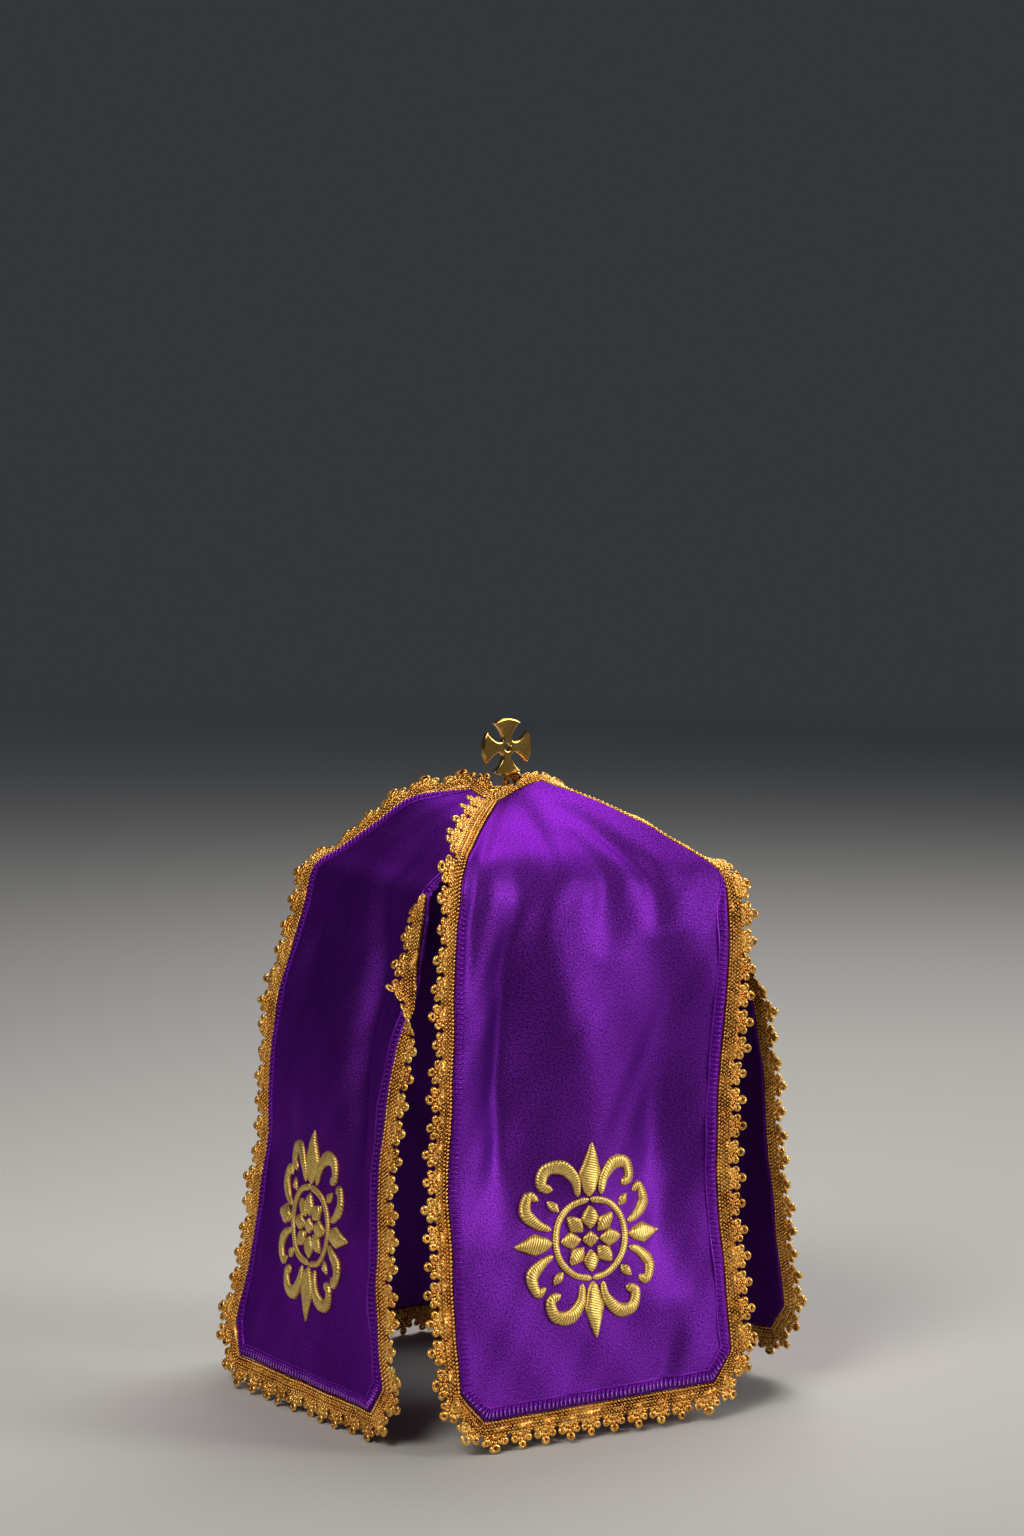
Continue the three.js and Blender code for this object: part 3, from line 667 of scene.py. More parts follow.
def trim_tree():
    """Geometry Nodes that repeat a motif along a seam and bend it to the seam."""
    tree = bpy.data.node_groups.new("Trim Along Seam", "GeometryNodeTree")
    tree.is_modifier = True
    for name, kind in (
        ("Geometry", "Geometry"),
        ("Motif", "Object"),
        ("Seam", "Object"),
        ("Repeats", "Int"),
        ("Steps", "Int"),
        ("First Span", "Int"),
        ("Last Span", "Int"),
        ("Sway", "Float"),
        ("Hinge", "Float"),
        ("Seed", "Int"),
        ("Floor", "Float"),
        ("Material", "Material"),
    ):
        tree.interface.new_socket(name, in_out="INPUT", socket_type="NodeSocket" + kind)
    tree.interface.new_socket("Geometry", in_out="OUTPUT", socket_type="NodeSocketGeometry")
    make = TreeMaker(tree)
    given = make.node("NodeGroupInput").outputs
    motif = make.node("GeometryNodeObjectInfo", {"Object": given["Motif"]}).outputs["Geometry"]
    seam = make.node("GeometryNodeObjectInfo", {"Object": given["Seam"]}).outputs["Geometry"]
    line = make.node("GeometryNodeMeshLine", {"Count": given["Repeats"], "Offset": (1.0, 0.0, 0.0)})
    copies = make.node("GeometryNodeInstanceOnPoints", {"Points": line.outputs[0], "Instance": motif})
    limits = {"Min": -1.0, "Max": 1.0, "Seed": given["Seed"]}
    chance = make.node("FunctionNodeRandomValue", limits, data_type="FLOAT")
    marked = make.node(
        "GeometryNodeStoreNamedAttribute",
        {"Geometry": copies.outputs[0], "Name": "sway", "Value": enabled(chance.outputs, "Value")},
        data_type="FLOAT",
        domain="INSTANCE",
    )
    loose = make.node("GeometryNodeRealizeInstances", {"Geometry": marked.outputs[0]}).outputs[0]
    position = make.node("GeometryNodeInputPosition").outputs[0]
    place = make.node("ShaderNodeSeparateXYZ", {0: position}).outputs
    step = make.math("ADD", make.math("MULTIPLY", place["X"], given["Steps"]), SEAM_NUDGE)
    first = make.math("MAXIMUM", make.math("FLOOR", step), given["First Span"])
    first = make.math("MINIMUM", first, given["Last Span"])
    share = make.math("SUBTRACT", step, first)
    count = make.node("GeometryNodeAttributeDomainSize", {"Geometry": seam}).outputs["Point Count"]
    second = make.math("FLOORED_MODULO", make.math("ADD", first, 1.0), count)
    first = make.math("FLOORED_MODULO", first, count)

    def on_seam(value):
        ends = [
            make.node(
                "GeometryNodeSampleIndex",
                {"Geometry": seam, "Value": value, "Index": index},
                data_type="FLOAT_VECTOR",
            ).outputs[0]
            for index in (first, second)
        ]
        return make.vector("ADD", ends[0], make.scale(make.vector("SUBTRACT", ends[1], ends[0]), share))

    def named(name, kind="FLOAT_VECTOR"):
        return make.node("GeometryNodeInputNamedAttribute", {"Name": name}, data_type=kind).outputs[0]

    root = on_seam(position)
    beyond = make.math("MAXIMUM", make.math("SUBTRACT", place["Y"], given["Hinge"]), 0.0)
    swing = make.math("MULTIPLY", make.math("MULTIPLY", named("sway", "FLOAT"), given["Sway"]), beyond)
    out = make.scale(on_seam(named("out")), place["Y"])
    face = make.scale(on_seam(named("face")), make.math("ADD", place["Z"], swing))
    bent = make.vector("ADD", root, make.vector("ADD", out, face))
    parts = make.node("ShaderNodeSeparateXYZ", {0: bent}).outputs
    height = make.math("MAXIMUM", parts["Z"], given["Floor"])
    bent = make.node("ShaderNodeCombineXYZ", {"X": parts["X"], "Y": parts["Y"], "Z": height}).outputs[0]
    moved = make.node("GeometryNodeSetPosition", {"Geometry": loose, "Position": bent}).outputs[0]
    merged = make.node("GeometryNodeMergeByDistance", {"Geometry": moved, "Distance": JOIN_WITHIN}).outputs[0]
    smooth = make.node("GeometryNodeSetShadeSmooth", {"Geometry": merged}).outputs[0]
    dressed = make.node("GeometryNodeSetMaterial", {"Geometry": smooth, "Material": given["Material"]})
    make.node("NodeGroupOutput", {"Geometry": dressed.outputs[0]})
    return tree


def seam_object(seam):
    """The seam as a bare mesh whose points carry the ways the trim leaves it and faces."""
    mesh = bpy.data.meshes.new("seam")
    mesh.from_pydata((seam.roots * MM).tolist(), [], [])
    for name, values in (("out", seam.outs * seam.shares[:, None]), ("face", seam.faces)):
        mesh.attributes.new(name, "FLOAT_VECTOR", "POINT").data.foreach_set("vector", values.ravel())
    return bpy.data.objects.new("seam", mesh)


def trim(name, motif, seam, steps, material, sway=0.0, hinge=0.0, seed=0, floor=-1.0):
    """A finished piece of trim: the motif repeated along the seam."""
    tree = bpy.data.node_groups.get("Trim Along Seam") or trim_tree()
    spans = len(seam.roots) if seam.closed else len(seam.roots) - 1
    carrier = bpy.data.objects.new("carrier", bpy.data.meshes.new("carrier"))
    helpers = [carrier, bpy.data.objects.new("motif", motif), seam_object(seam)]
    for helper in helpers:
        bpy.context.scene.collection.objects.link(helper)
    modifier = carrier.modifiers.new("Trim", "NODES")
    modifier.node_group = tree
    values = {
        "Motif": helpers[1],
        "Seam": helpers[2],
        "Repeats": spans // steps,
        "Steps": steps,
        "First Span": -1 if seam.closed else 0,
        "Last Span": spans if seam.closed else spans - 1,
        "Sway": sway,
        "Hinge": hinge * MM,
        "Seed": seed,
        "Floor": floor,
        "Material": material,
    }
    for item in tree.interface.items_tree:
        if item.in_out == "INPUT" and item.name in values:
            modifier[item.identifier] = values[item.name]
    carrier.update_tag()
    graph = bpy.context.evaluated_depsgraph_get()
    mesh = bpy.data.meshes.new_from_object(carrier.evaluated_get(graph))
    if not mesh.polygons:
        raise RuntimeError(name + " came out empty")
    mesh.name = name
    for helper in helpers:
        bpy.data.objects.remove(helper)
    return placed(name, mesh)


def placed(name, mesh, material=None):
    """An object for a finished mesh, at the origin."""
    piece = bpy.data.objects.new(name, mesh)
    bpy.context.scene.collection.objects.link(piece)
    if material:
        mesh.materials.clear()
        mesh.materials.append(material)
    return piece


def mesh_of(name, points, faces, uvs=None):
    """A smooth mesh from points in mm, with a UV map in metres by point."""
    mesh = bpy.data.meshes.new(name)
    mesh.from_pydata((np.asarray(points) * MM).tolist(), [], faces)
    if uvs is not None:
        layer = mesh.uv_layers.new(name="cloth")
        corners = np.empty(len(mesh.loops), int)
        mesh.loops.foreach_get("vertex_index", corners)
        layer.data.foreach_set("uv", (np.asarray(uvs) * MM)[corners].ravel())
    mesh.shade_smooth()
    mesh.update()
    return mesh


def panel_mesh(side):
    """A panel as a closed sheet with rounded edges, on its folds."""
    drape = DRAPES[side]
    rim = np.array(PANEL_RIM)
    inner = np.linspace(-1, 1, PANEL_COLUMNS)[1:-1]
    across = np.concatenate([-1 + rim / PANEL_RIM_HALF, inner, 1 - rim[::-1] / PANEL_RIM_HALF])
    body = np.linspace(PANEL_TOP, drape.corner, PANEL_ROWS)
    corner = drape.hem - np.linspace(CORNER_RISE, CORNER_LAST, CORNER_ROWS)[1:]
    down = np.concatenate([rim, body, corner, drape.hem - rim[::-1]])
    grid_across, grid_down = np.meshgrid(across, down)
    middle = drape.point(grid_across, grid_down)
    normals = drape.normal(grid_across, grid_down)
    half = drape.half_width(grid_down)
    edge = np.minimum.reduce([(1 - np.abs(grid_across)) * half, grid_down, drape.hem - grid_down])
    lift = CLOTH_THICKNESS / 2 * np.sqrt(1 - (1 - np.clip(edge, 0, 1)) ** 2 * EDGE_ROUND)
    rows, columns = middle.shape[:2]
    layers = [middle + normals * lift[..., None], middle - normals * lift[..., None]]
    points = np.concatenate([layer.reshape(-1, 3) for layer in layers])
    count = rows * columns
    index = np.arange(count).reshape(rows, columns)
    a, b, c, d = index[:-1, :-1], index[1:, :-1], index[1:, 1:], index[:-1, 1:]
    front = np.stack([a, b, c, d], axis=-1).reshape(-1, 4)
    faces = front.tolist() + (front[:, ::-1] + count).tolist()
    border = np.concatenate([index[:-1, 0], index[-1, :-1], index[:0:-1, -1], index[0, :0:-1]])
    for p, q in zip(border, np.roll(border, -1)):
        faces.append([q, p, p + count, q + count])
    uvs = np.stack([grid_across * half, -grid_down], axis=-1).reshape(-1, 2)
    return mesh_of("panel " + side, points, faces, np.concatenate([uvs, uvs]))


# A stroke of the embroidery: its points from end to end and its widths at both ends and the middle, in mm.
Stroke = namedtuple("Stroke", "points start middle end")
ORNAMENT_MIDDLE = 32

def twins(*strokes):
    """Each stroke with its twin below the ornament's middle."""
    pairs = []
    for stroke in strokes:
        lower = [(x, 2 * ORNAMENT_MIDDLE - y) for x, y in stroke.points]
        pairs += [stroke, stroke._replace(points=lower)]
    return pairs

CENTRE_STROKES = twins(
    Stroke([(0, 46.6), (0, 51), (0, 57.5), (0, 66)], 3.0, 8.4, 0.8),
    Stroke([(0, 35.6), (0, 39), (0, 43.6)], 2.6, 6.4, 2.2),
)
CENTRE_STROKES += [Stroke([(-2.9, 32), (0, 32), (2.9, 32)], 3.4, 6.0, 3.4)]
MIRRORED_STROKES = [
    Stroke(
        [(0.2, 45.7), (7, 43.9), (11.9, 38.9), (13.7, 32), (11.9, 25.1), (7, 20.1), (0.2, 18.3)],
        2.3, 2.5, 2.3,
    ),
    Stroke([(15.4, 32), (19, 32), (23.4, 32), (30, 32)], 3.0, 7.6, 0.8),
    Stroke([(3.6, 32), (7, 32), (11.6, 32)], 2.6, 6.4, 2.2),
]
MIRRORED_STROKES += twins(
    Stroke([(2.7, 34.7), (5.2, 37.2), (8.3, 40.3)], 2.2, 5.8, 2.0),
    Stroke([(4.2, 47), (5.4, 53), (9.8, 57.6), (15.4, 57), (17, 51.8), (13, 49.8)], 2.0, 5.2, 3.0),
    Stroke([(15.2, 36.4), (19.6, 38.4), (23.8, 42.8), (22, 48.4), (18.6, 46.8)], 2.0, 4.8, 2.4),
    Stroke([(11.6, 42.4), (13.4, 44.2), (15.4, 46.2)], 1.6, 3.6, 1.4),
)

# The padded section of a stroke, by shares of its half width and rise, and how strokes narrow and swell.
PADDING = np.array([
    [-1, -0.4], [-0.99, 0.3], [-0.82, 0.78], [-0.45, 0.97], [0, 1.0],
    [0.45, 0.97], [0.82, 0.78], [0.99, 0.3], [1, -0.4],
])
STROKE_STEPS = 9
STROKE_MIDDLE = 0.45
STROKE_POINT = 0.03
FULL_PADDING = 1.6
PADDING_RANGE = (0.45, 1.15)
PADDING_CHANGE = 0.06
PADDING_CYCLE = 3

def smooth_path(points, steps):
    """A curve through the points, with a number of steps between each two."""
    p = np.array(points, float)
    p = np.vstack([2 * p[0] - p[1], p, 2 * p[-1] - p[-2]])
    t = np.linspace(0, 1, steps, endpoint=False)[:, None]
    spans = []
    for a, b, c, d in zip(p, p[1:], p[2:], p[3:]):
        curve, twist = 2 * a - 5 * b + 4 * c - d, 3 * b - a - 3 * c + d
        spans.append(0.5 * (2 * b + (c - a) * t + curve * t**2 + twist * t**3))
    return np.vstack(spans + [p[-2:-1]])


def embroidery_mesh(side, base, raised):
    """The raised scroll ornament, worked in padded satin stitch on a panel."""
    drape = DRAPES[side]
    points, faces, uvs, start = [], [], [], 0
    strokes = CENTRE_STROKES + MIRRORED_STROKES
    strokes += [s._replace(points=[(-x, y) for x, y in s.points]) for s in MIRRORED_STROKES]
    for order, stroke in enumerate(strokes):
        path = smooth_path(stroke.points, STROKE_STEPS)
        length = np.concatenate([[0], np.cumsum(np.linalg.norm(np.diff(path, axis=0), axis=1))])
        widths = [stroke.start, stroke.middle, stroke.end]
        width = np.interp(length / length[-1], [0, STROKE_MIDDLE, 1], widths) / 2
        from_end = np.minimum(length, length[-1] - length)
        width = width * np.sqrt(np.clip(from_end / width, STROKE_POINT, 1))
        along = along_path(path, 1, False)
        side_way = np.stack([along[:, 1], -along[:, 0]], axis=-1)
        rise = raised * np.clip(width / FULL_PADDING, *PADDING_RANGE)
        rise = rise * (1 + PADDING_CHANGE * (order % PADDING_CYCLE))
        flat = path[:, None] + side_way[:, None] * (PADDING[None, :, :1] * width[:, None, None])
        down = drape.hem - base - flat[..., 1]
        across = flat[..., 0] / drape.half_width(down)
        height = CLOTH_THICKNESS / 2 + rise[:, None] * PADDING[None, :, 1]
        spots = drape.point(across, down) + drape.normal(across, down) * height[..., None]
        rings, sides = spots.shape[:2]
        points.append(spots.reshape(-1, 3))
        for r in range(rings - 1):
            near, far = start + r * sides, start + (r + 1) * sides
            for k in range(sides):
                after = (k + 1) % sides
                faces.append([near + k, far + k, far + after, near + after])
        faces.append([start + k for k in range(sides)])
        faces.append([start + (rings - 1) * sides + k for k in range(sides)][::-1])
        start += rings * sides
        wide = PADDING[None, :, 0] * width[:, None]
        long = np.broadcast_to(length[:, None], wide.shape)
        uvs.append(np.stack([wide, long], axis=-1).reshape(-1, 2))
    mesh = mesh_of("embroidery " + side, np.vstack(points), faces, np.vstack(uvs))
    made = bmesh.new()
    made.from_mesh(mesh)
    bmesh.ops.recalc_face_normals(made, faces=made.faces)
    made.to_mesh(mesh)
    made.free()
    return mesh


def cross_outline():
    """The outline of the cross in its own plane: rim arcs joined by oval notches."""
    t = np.linspace(0, math.pi, NOTCH_SEARCH)
    radius = np.hypot(NOTCH_REACH + NOTCH_LONG * np.cos(t), NOTCH_WIDE * np.sin(t))
    start = t[np.argmin(np.abs(radius - CROSS_RADIUS))]
    arc = np.linspace(start, 2 * math.pi - start, NOTCH_STEPS)
    notch = np.stack([NOTCH_REACH + NOTCH_LONG * np.cos(arc), NOTCH_WIDE * np.sin(arc)], axis=-1)
    lip = math.atan2(notch[0, 1], notch[0, 0])
    outline = []
    for k in range(4):
        turn = math.pi / 4 + k * math.pi / 2
        cos, sin = math.cos(turn), math.sin(turn)
        outline.append(notch[::-1] @ np.array([[cos, sin], [-sin, cos]]))
        rim = np.linspace(turn + lip, turn + math.pi / 2 - lip, RIM_STEPS)[1:-1]
        outline.append(CROSS_RADIUS * np.stack([np.cos(rim), np.sin(rim)], axis=-1))
    return np.vstack(outline)


def inset(loop, amount):
    """A closed loop moved in by an amount."""
    along = unit(np.roll(loop, -1, axis=0) - np.roll(loop, 1, axis=0))
    return loop + np.stack([-along[:, 1], along[:, 0]], axis=-1) * amount


def cross_mesh(bevel):
    """The pierced cross with worn, rounded edges, a raised eye and its post."""
    made = bmesh.new()
    outer = cross_outline()
    turns = np.linspace(0, 2 * math.pi, EYE_SIDES, endpoint=False)
    eye = np.stack([np.cos(turns), np.sin(turns)], axis=-1)
    half = CROSS_THICKNESS / 2
    steps = [(bevel * gap, half - bevel * drop) for gap, drop in BEVEL_STEPS]
    steps += [(gap, -height) for gap, height in steps[::-1]]

    def ring(points, height):
        return [made.verts.new((x, -height, y)) for x, y in points]

    def bridge(a, b):
        for k in range(len(a)):
            made.faces.new([a[k], a[(k + 1) % len(a)], b[(k + 1) % len(b)], b[k]])

    rims = [ring(inset(outer, gap), height) for gap, height in steps]
    eye_steps = [(EYE_RADIUS + wide, half + rise) for wide, rise in EYE_STEPS]
    eye_steps += [(radius, -height) for radius, height in eye_steps[::-1]]
    eyes = [ring(eye * radius, height) for radius, height in eye_steps]
    for group in (rims, eyes):
        for a, b in zip(group, group[1:]):
            bridge(a, b)
    for rim, hole in ((rims[0], eyes[0]), (rims[-1], eyes[-1])):
        edges = []
        for loop in (rim, hole):
            edges += [made.edges.get((loop[k], loop[(k + 1) % len(loop)])) for k in range(len(loop))]
        bmesh.ops.triangle_fill(made, edges=edges, use_beauty=True)
    foot = POST_FOOT - CROSS_HEIGHT
    profile = [(POST_RADIUS, foot), (POST_RADIUS * POST_COLLAR, foot + 1), (POST_RADIUS, foot + 2)]
    profile += [(POST_RADIUS, POST_SINK - CROSS_RADIUS)]
    posts = []
    for radius, height in profile:
        posts.append([made.verts.new((x * radius, y * radius, height)) for x, y in eye])
    for a, b in zip(posts, posts[1:]):
        bridge(a, b)
    made.faces.new(posts[0])
    made.faces.new(posts[-1])
    bmesh.ops.recalc_face_normals(made, faces=made.faces)
    cos, sin = math.cos(math.radians(CROSS_YAW)), math.sin(math.radians(CROSS_YAW))
    for v in made.verts:
        x, y, z = v.co
        v.co = Vector((x * cos - y * sin, x * sin + y * cos, z + CROSS_HEIGHT)) * MM
    mesh = bpy.data.meshes.new("finial cross")
    made.to_mesh(mesh)
    made.free()
    mesh.shade_smooth()
    mesh.set_sharp_from_angle(angle=math.radians(CROSS_CREASE))
    return mesh


def shader_group(name, inputs, outputs):
    """An empty shader node group with named sockets."""
    group = bpy.data.node_groups.new(name, "ShaderNodeTree")
    for label, kind, value in inputs:
        socket = group.interface.new_socket(label, in_out="INPUT", socket_type="NodeSocket" + kind)
        if value is not None:
            socket.default_value = value
    for label in outputs:
        group.interface.new_socket(label, in_out="OUTPUT", socket_type="NodeSocketFloat")
    return group

def grain_group():
    """Crepe grain: a fine pebbled height and a slow change of tone."""
    found = bpy.data.node_groups.get("Crepe Grain")
    if found:
        return found
    inputs = [("Vector", "Vector", None), ("Pebbles", "Float", 900.0), ("Drift", "Float", 22.0)]
    group = shader_group("Crepe Grain", inputs, ["Height", "Tone"])
    make = TreeMaker(group)
    given = make.node("NodeGroupInput").outputs
    pebbles = make.noise(given["Vector"], given["Pebbles"], 3.0)
    threads = make.node("ShaderNodeTexVoronoi", {"Vector": given["Vector"], "Scale": given["Pebbles"]})
    drift = make.noise(given["Vector"], given["Drift"], 2.0)
    height = make.math("ADD", pebbles, make.math("MULTIPLY", threads.outputs[0], 0.35))
    make.node("NodeGroupOutput", {"Height": height, "Tone": make.blend(pebbles, drift, 0.8)})
    return group

def metal_wear_group():
    """Fine uneven wear of gold and brass: a tone, a roughness and a height."""
    found = bpy.data.node_groups.get("Gold Wear")
    if found:
        return found
    inputs = [("Vector", "Vector", None), ("Scale", "Float", 400.0)]
    inputs += [("Smooth", "Float", 0.2), ("Rough", "Float", 0.4)]
    group = shader_group("Gold Wear", inputs, ["Tone", "Roughness", "Height"])
    make = TreeMaker(group)
    given = make.node("NodeGroupInput").outputs
    fine = make.noise(given["Vector"], given["Scale"], 4.0)
    broad = make.noise(given["Vector"], make.math("MULTIPLY", given["Scale"], 0.12), 2.0)
    tone = make.blend(fine, broad, 0.6)
    span = make.math("SUBTRACT", given["Rough"], given["Smooth"])
    rough = make.math("ADD", given["Smooth"], make.math("MULTIPLY", span, tone))
    make.node("NodeGroupOutput", {"Tone": tone, "Roughness": rough, "Height": fine})
    return group

class MaterialMaker(TreeMaker):
    """A material with its Principled shader."""

    def __init__(self, name, **constants):
        self.material = bpy.data.materials.new(name)
        self.material.use_nodes = True
        super().__init__(self.material.node_tree)
        self.shader = self.tree.nodes["Principled BSDF"]
        for label, value in constants.items():
            self.shader.inputs[label.replace("_", " ")].default_value = value
        self.coords = self.node("ShaderNodeTexCoord").outputs

    def group(self, tree, **inputs):
        made = self.node("ShaderNodeGroup", node_tree=tree)
        for name, value in inputs.items():
            if isinstance(value, bpy.types.NodeSocket):
                self.tree.links.new(value, made.inputs[name])
            else:
                made.inputs[name].default_value = value
        return made.outputs

    def feed(self, **sockets):
        for label, socket in sockets.items():
            self.tree.links.new(socket, self.shader.inputs[label.replace("_", " ")])

    def bump(self, height, strength, distance):
        made = self.node("ShaderNodeBump", {"Height": height, "Strength": strength, "Distance": distance})
        self.feed(Normal=made.outputs["Normal"])


def shade(colour, factor):
    """A colour made lighter or darker."""
    return tuple(min(1.0, c * factor) for c in colour[:3])


def tones(colour, spread, dark, light):
    """A colour with a darker and a lighter tone, a spread either side of the middle."""
    return [(0.5 - spread, shade(colour, dark)), (0.5, colour), (0.5 + spread, shade(colour, light))]

def satin_material(name, colour, pebbles, relief):
    """Purple satin with a crepe grain and a soft lilac sheen."""
    make = MaterialMaker(name, Metallic=0.95, Roughness=0.52, Specular_IOR_Level=0.1)
    make.shader.inputs["Specular Tint"].default_value = (0.7, 0.4, 1.0, 1.0)
    grain = make.group(grain_group(), Vector=make.coords["UV"], Pebbles=pebbles, Drift=24.0)
    make.feed(Base_Color=make.ramp(grain["Tone"], tones(colour, 0.14, 0.42, 1.6)))
    make.bump(grain["Height"], relief, 0.0003)
    return make.material


def trim_satin_material(name, colour, roughness):
    """The brighter satin of the rolled hem, its piping and its sewing thread."""
    make = MaterialMaker(name, Metallic=0.65, Roughness=roughness, Specular_IOR_Level=0.15)
    make.shader.inputs["Specular Tint"].default_value = (0.8, 0.5, 1.0, 1.0)
    grain = make.group(grain_group(), Vector=make.coords["Object"], Pebbles=1400.0, Drift=60.0)
    make.feed(Base_Color=make.ramp(grain["Tone"], tones(colour, 0.2, 0.6, 1.4)))
    make.bump(grain["Height"], 0.35, 0.0002)
    return make.material


def gold_thread_material(name, colour):
    """Crocheted metallic thread: painted shade, darker in the deeps and lighter on each crest, plus random
    flecks, the brightest painted as glints.
    """
    make = MaterialMaker(name, Metallic=0.75, Specular_IOR_Level=0.8)
    wear = make.group(metal_wear_group(), Vector=make.coords["Object"], Scale=900.0, Smooth=0.14, Rough=0.4)
    # The shade attribute is painted shade: low in gaps and grounds, high on crests.
    crest = make.node("ShaderNodeAttribute", attribute_name="shade").outputs["Fac"]
    fleck = make.math("MULTIPLY", make.math("SUBTRACT", wear["Tone"], 0.5), FLECK_GAIN)
    tone = make.math("ADD", crest, fleck)
    # The ramp runs from dark painted shade up to a painted glint colour at the top.
    stops = [(0.15, shade(colour, 0.14)), (0.42, shade(colour, 0.55)), (0.68, colour), (0.95, PAINTED_GOLD_GLINT)]
    make.feed(Base_Color=make.ramp(tone, stops), Roughness=wear["Roughness"])
    make.bump(wear["Height"], 0.35, 0.0002)
    return make.material


def satin_stitch_material(name, colour, thread):
    """Gold satin stitch: threads laid side by side across each stroke, with painted shade in the grooves between
    them.
    """
    make = MaterialMaker(name, Metallic=0.7, Specular_IOR_Level=0.6)
    parts = make.node("ShaderNodeSeparateXYZ", {0: make.coords["UV"]}).outputs
    slant = make.math("ADD", parts["Y"], make.math("MULTIPLY", parts["X"], THREAD_SLANT))
    wave = make.math("SINE", make.math("MULTIPLY", slant, 2 * math.pi / thread))
    wear = make.group(metal_wear_group(), Vector=make.coords["Object"], Scale=900.0, Smooth=0.28, Rough=0.5)
    # The thread wave darkens the colour where the bump is low: painted shade between threads.
    tone = make.math("ADD", wear["Tone"], make.math("MULTIPLY", wave, THREAD_PAINTED_SHADE))
    make.feed(Base_Color=make.ramp(tone, tones(colour, 0.16, 0.5, 1.45)), Roughness=wear["Roughness"])
    make.bump(make.math("ADD", wave, wear["Height"]), 0.5, 0.0001)
    return make.material


def brass_material(name, colour):
    """Polished brass with faint smears and rubbed tone."""
    make = MaterialMaker(name, Metallic=1.0)
    wear = make.group(metal_wear_group(), Vector=make.coords["Object"], Scale=90.0, Smooth=0.1, Rough=0.2)
    stops = [(0.3, shade(colour, 0.7)), (0.52, colour), (0.7, shade(colour, 1.2))]
    make.feed(Base_Color=make.ramp(wear["Tone"], stops), Roughness=wear["Roughness"])
    make.bump(wear["Height"], 0.02, 0.0001)
    return make.material


def stage_material(name, colour):
    """The matt pale paper of the stage, painted whiter far off to make up for the lamps' falloff, so it meets
    the room without a line.
    """
    make = MaterialMaker(name, Roughness=0.85, Specular_IOR_Level=0.0)
    place = make.coords["Object"]
    distance = make.node("ShaderNodeVectorMath", {0: place}, operation="LENGTH").outputs["Value"]
    # Painted light: the floor's colour whitens with distance, standing in for light the far floor lacks.
    near, far = (span / STAGE_RADIUS for span in STAGE_FADE)
    share = make.math("DIVIDE", distance, STAGE_RADIUS)
    make.feed(Base_Color=make.ramp(share, [(near, colour), (far, (1.0, 1.0, 1.0))]))
    return make.material


def size_property(label, default, words):
    """A length that a user may change, given here in millimetres and kept in metres."""
    return FloatProperty(
        name=label, description=words, default=default * MM, min=0.0, precision=5, unit="LENGTH"
    )

def colour_property(label, default, words):
    """A colour that a user may change."""
    return FloatVectorProperty(
        name=label, description=words, default=default, subtype="COLOR", size=3, min=0.0, max=1.0
    )

def power_property(label, default, words):
    """The power of a light that a user may change."""
    return FloatProperty(name=label, description=words, default=default, min=0.0, unit="POWER")

def share_property(label, default, words):
    """A share from 0 to 1 that a user may change."""
    return FloatProperty(
        name=label, description=words, default=default, min=0.0, max=1.0, subtype="FACTOR"
    )

def count_property(label, default, words):
    """A whole number that a user may change."""
    return IntProperty(name=label, description=words, default=default, min=1, subtype="UNSIGNED")

class VeilClothSettings(bpy.types.PropertyGroup):
    """Sizes and colours of the satin and its hem."""

    satin: colour_property("Satin", (0.14, 0.017, 0.31), "Colour of the panels")
    ribbed: colour_property("Ribbed hem", (0.19, 0.014, 0.4), "Colour of the rolled hem")
    piping: colour_property("Piping", (0.24, 0.02, 0.5), "Colour of the piping inside the hem")
    thread: colour_property("Sewing thread", (0.5, 0.26, 0.85), "Colour of the overcast stitches")
    grain: count_property("Grain", 1600, "Pebbles to the metre of cloth")
    relief: share_property("Relief", 0.4, "Strength of the grain")
    rib_pitch: size_property("Rib pitch", 1.7, "Distance between ribs of the hem")
    band_width: size_property("Hem width", 3.6, "Width of the rolled hem")
    inset: size_property("Hem inset", 0.5, "Distance of the ribs from the cut edge")

class VeilGoldSettings(bpy.types.PropertyGroup):
    """Sizes and colours of the lace, embroidery and finial."""

    lace: colour_property("Lace", (1.0, 0.44, 0.064), "Colour of the crocheted thread")
    stitch: colour_property("Embroidery", (0.96, 0.56, 0.15), "Colour of the satin stitch")
    brass: colour_property("Brass", (0.8, 0.48, 0.12), "Colour of the cross and crown")
    steps: count_property("Seam steps", 4, "Points of the seam to each scallop")
    sway: share_property("Sway", 0.1, "How far picots lean out of line")
    seed: count_property("Seed", 7, "Seed of the picots' lean")
    ornament_base: size_property("Ornament base", 24.0, "Height of the ornament above the hem")
    raised: size_property("Raised", 1.1, "Height of the padded stitches")
    stitch_pitch: size_property("Stitch pitch", 0.9, "Distance between threads")
    bevel: size_property("Bevel", 0.5, "Rounding of the cross's edges")

class VeilStageSettings(bpy.types.PropertyGroup):
    """The floor and the lights."""

    floor: colour_property("Floor", (0.6, 0.595, 0.59), "Colour of the floor")
    key: power_property("Key light", 0.55, "Power of the main light")
    fill: power_property("Fill light", 1.25, "Power of the fill light")
    top: power_property("Top light", 11.0, "Power of the light above and behind")
    air: share_property("Room light", 0.042, "Strength of the light from all round")

def finish_for(name, maker, *values):
    """A material made once under its name."""
    return bpy.data.materials.get(name) or maker(name, *values)


def seat(piece, slot, *nodes):
    """Fixes a piece to the veil's root body and hides the solids it stands for; its slot is not used."""
    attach(piece, "root")
    if nodes:
        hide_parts(*nodes)
    return piece


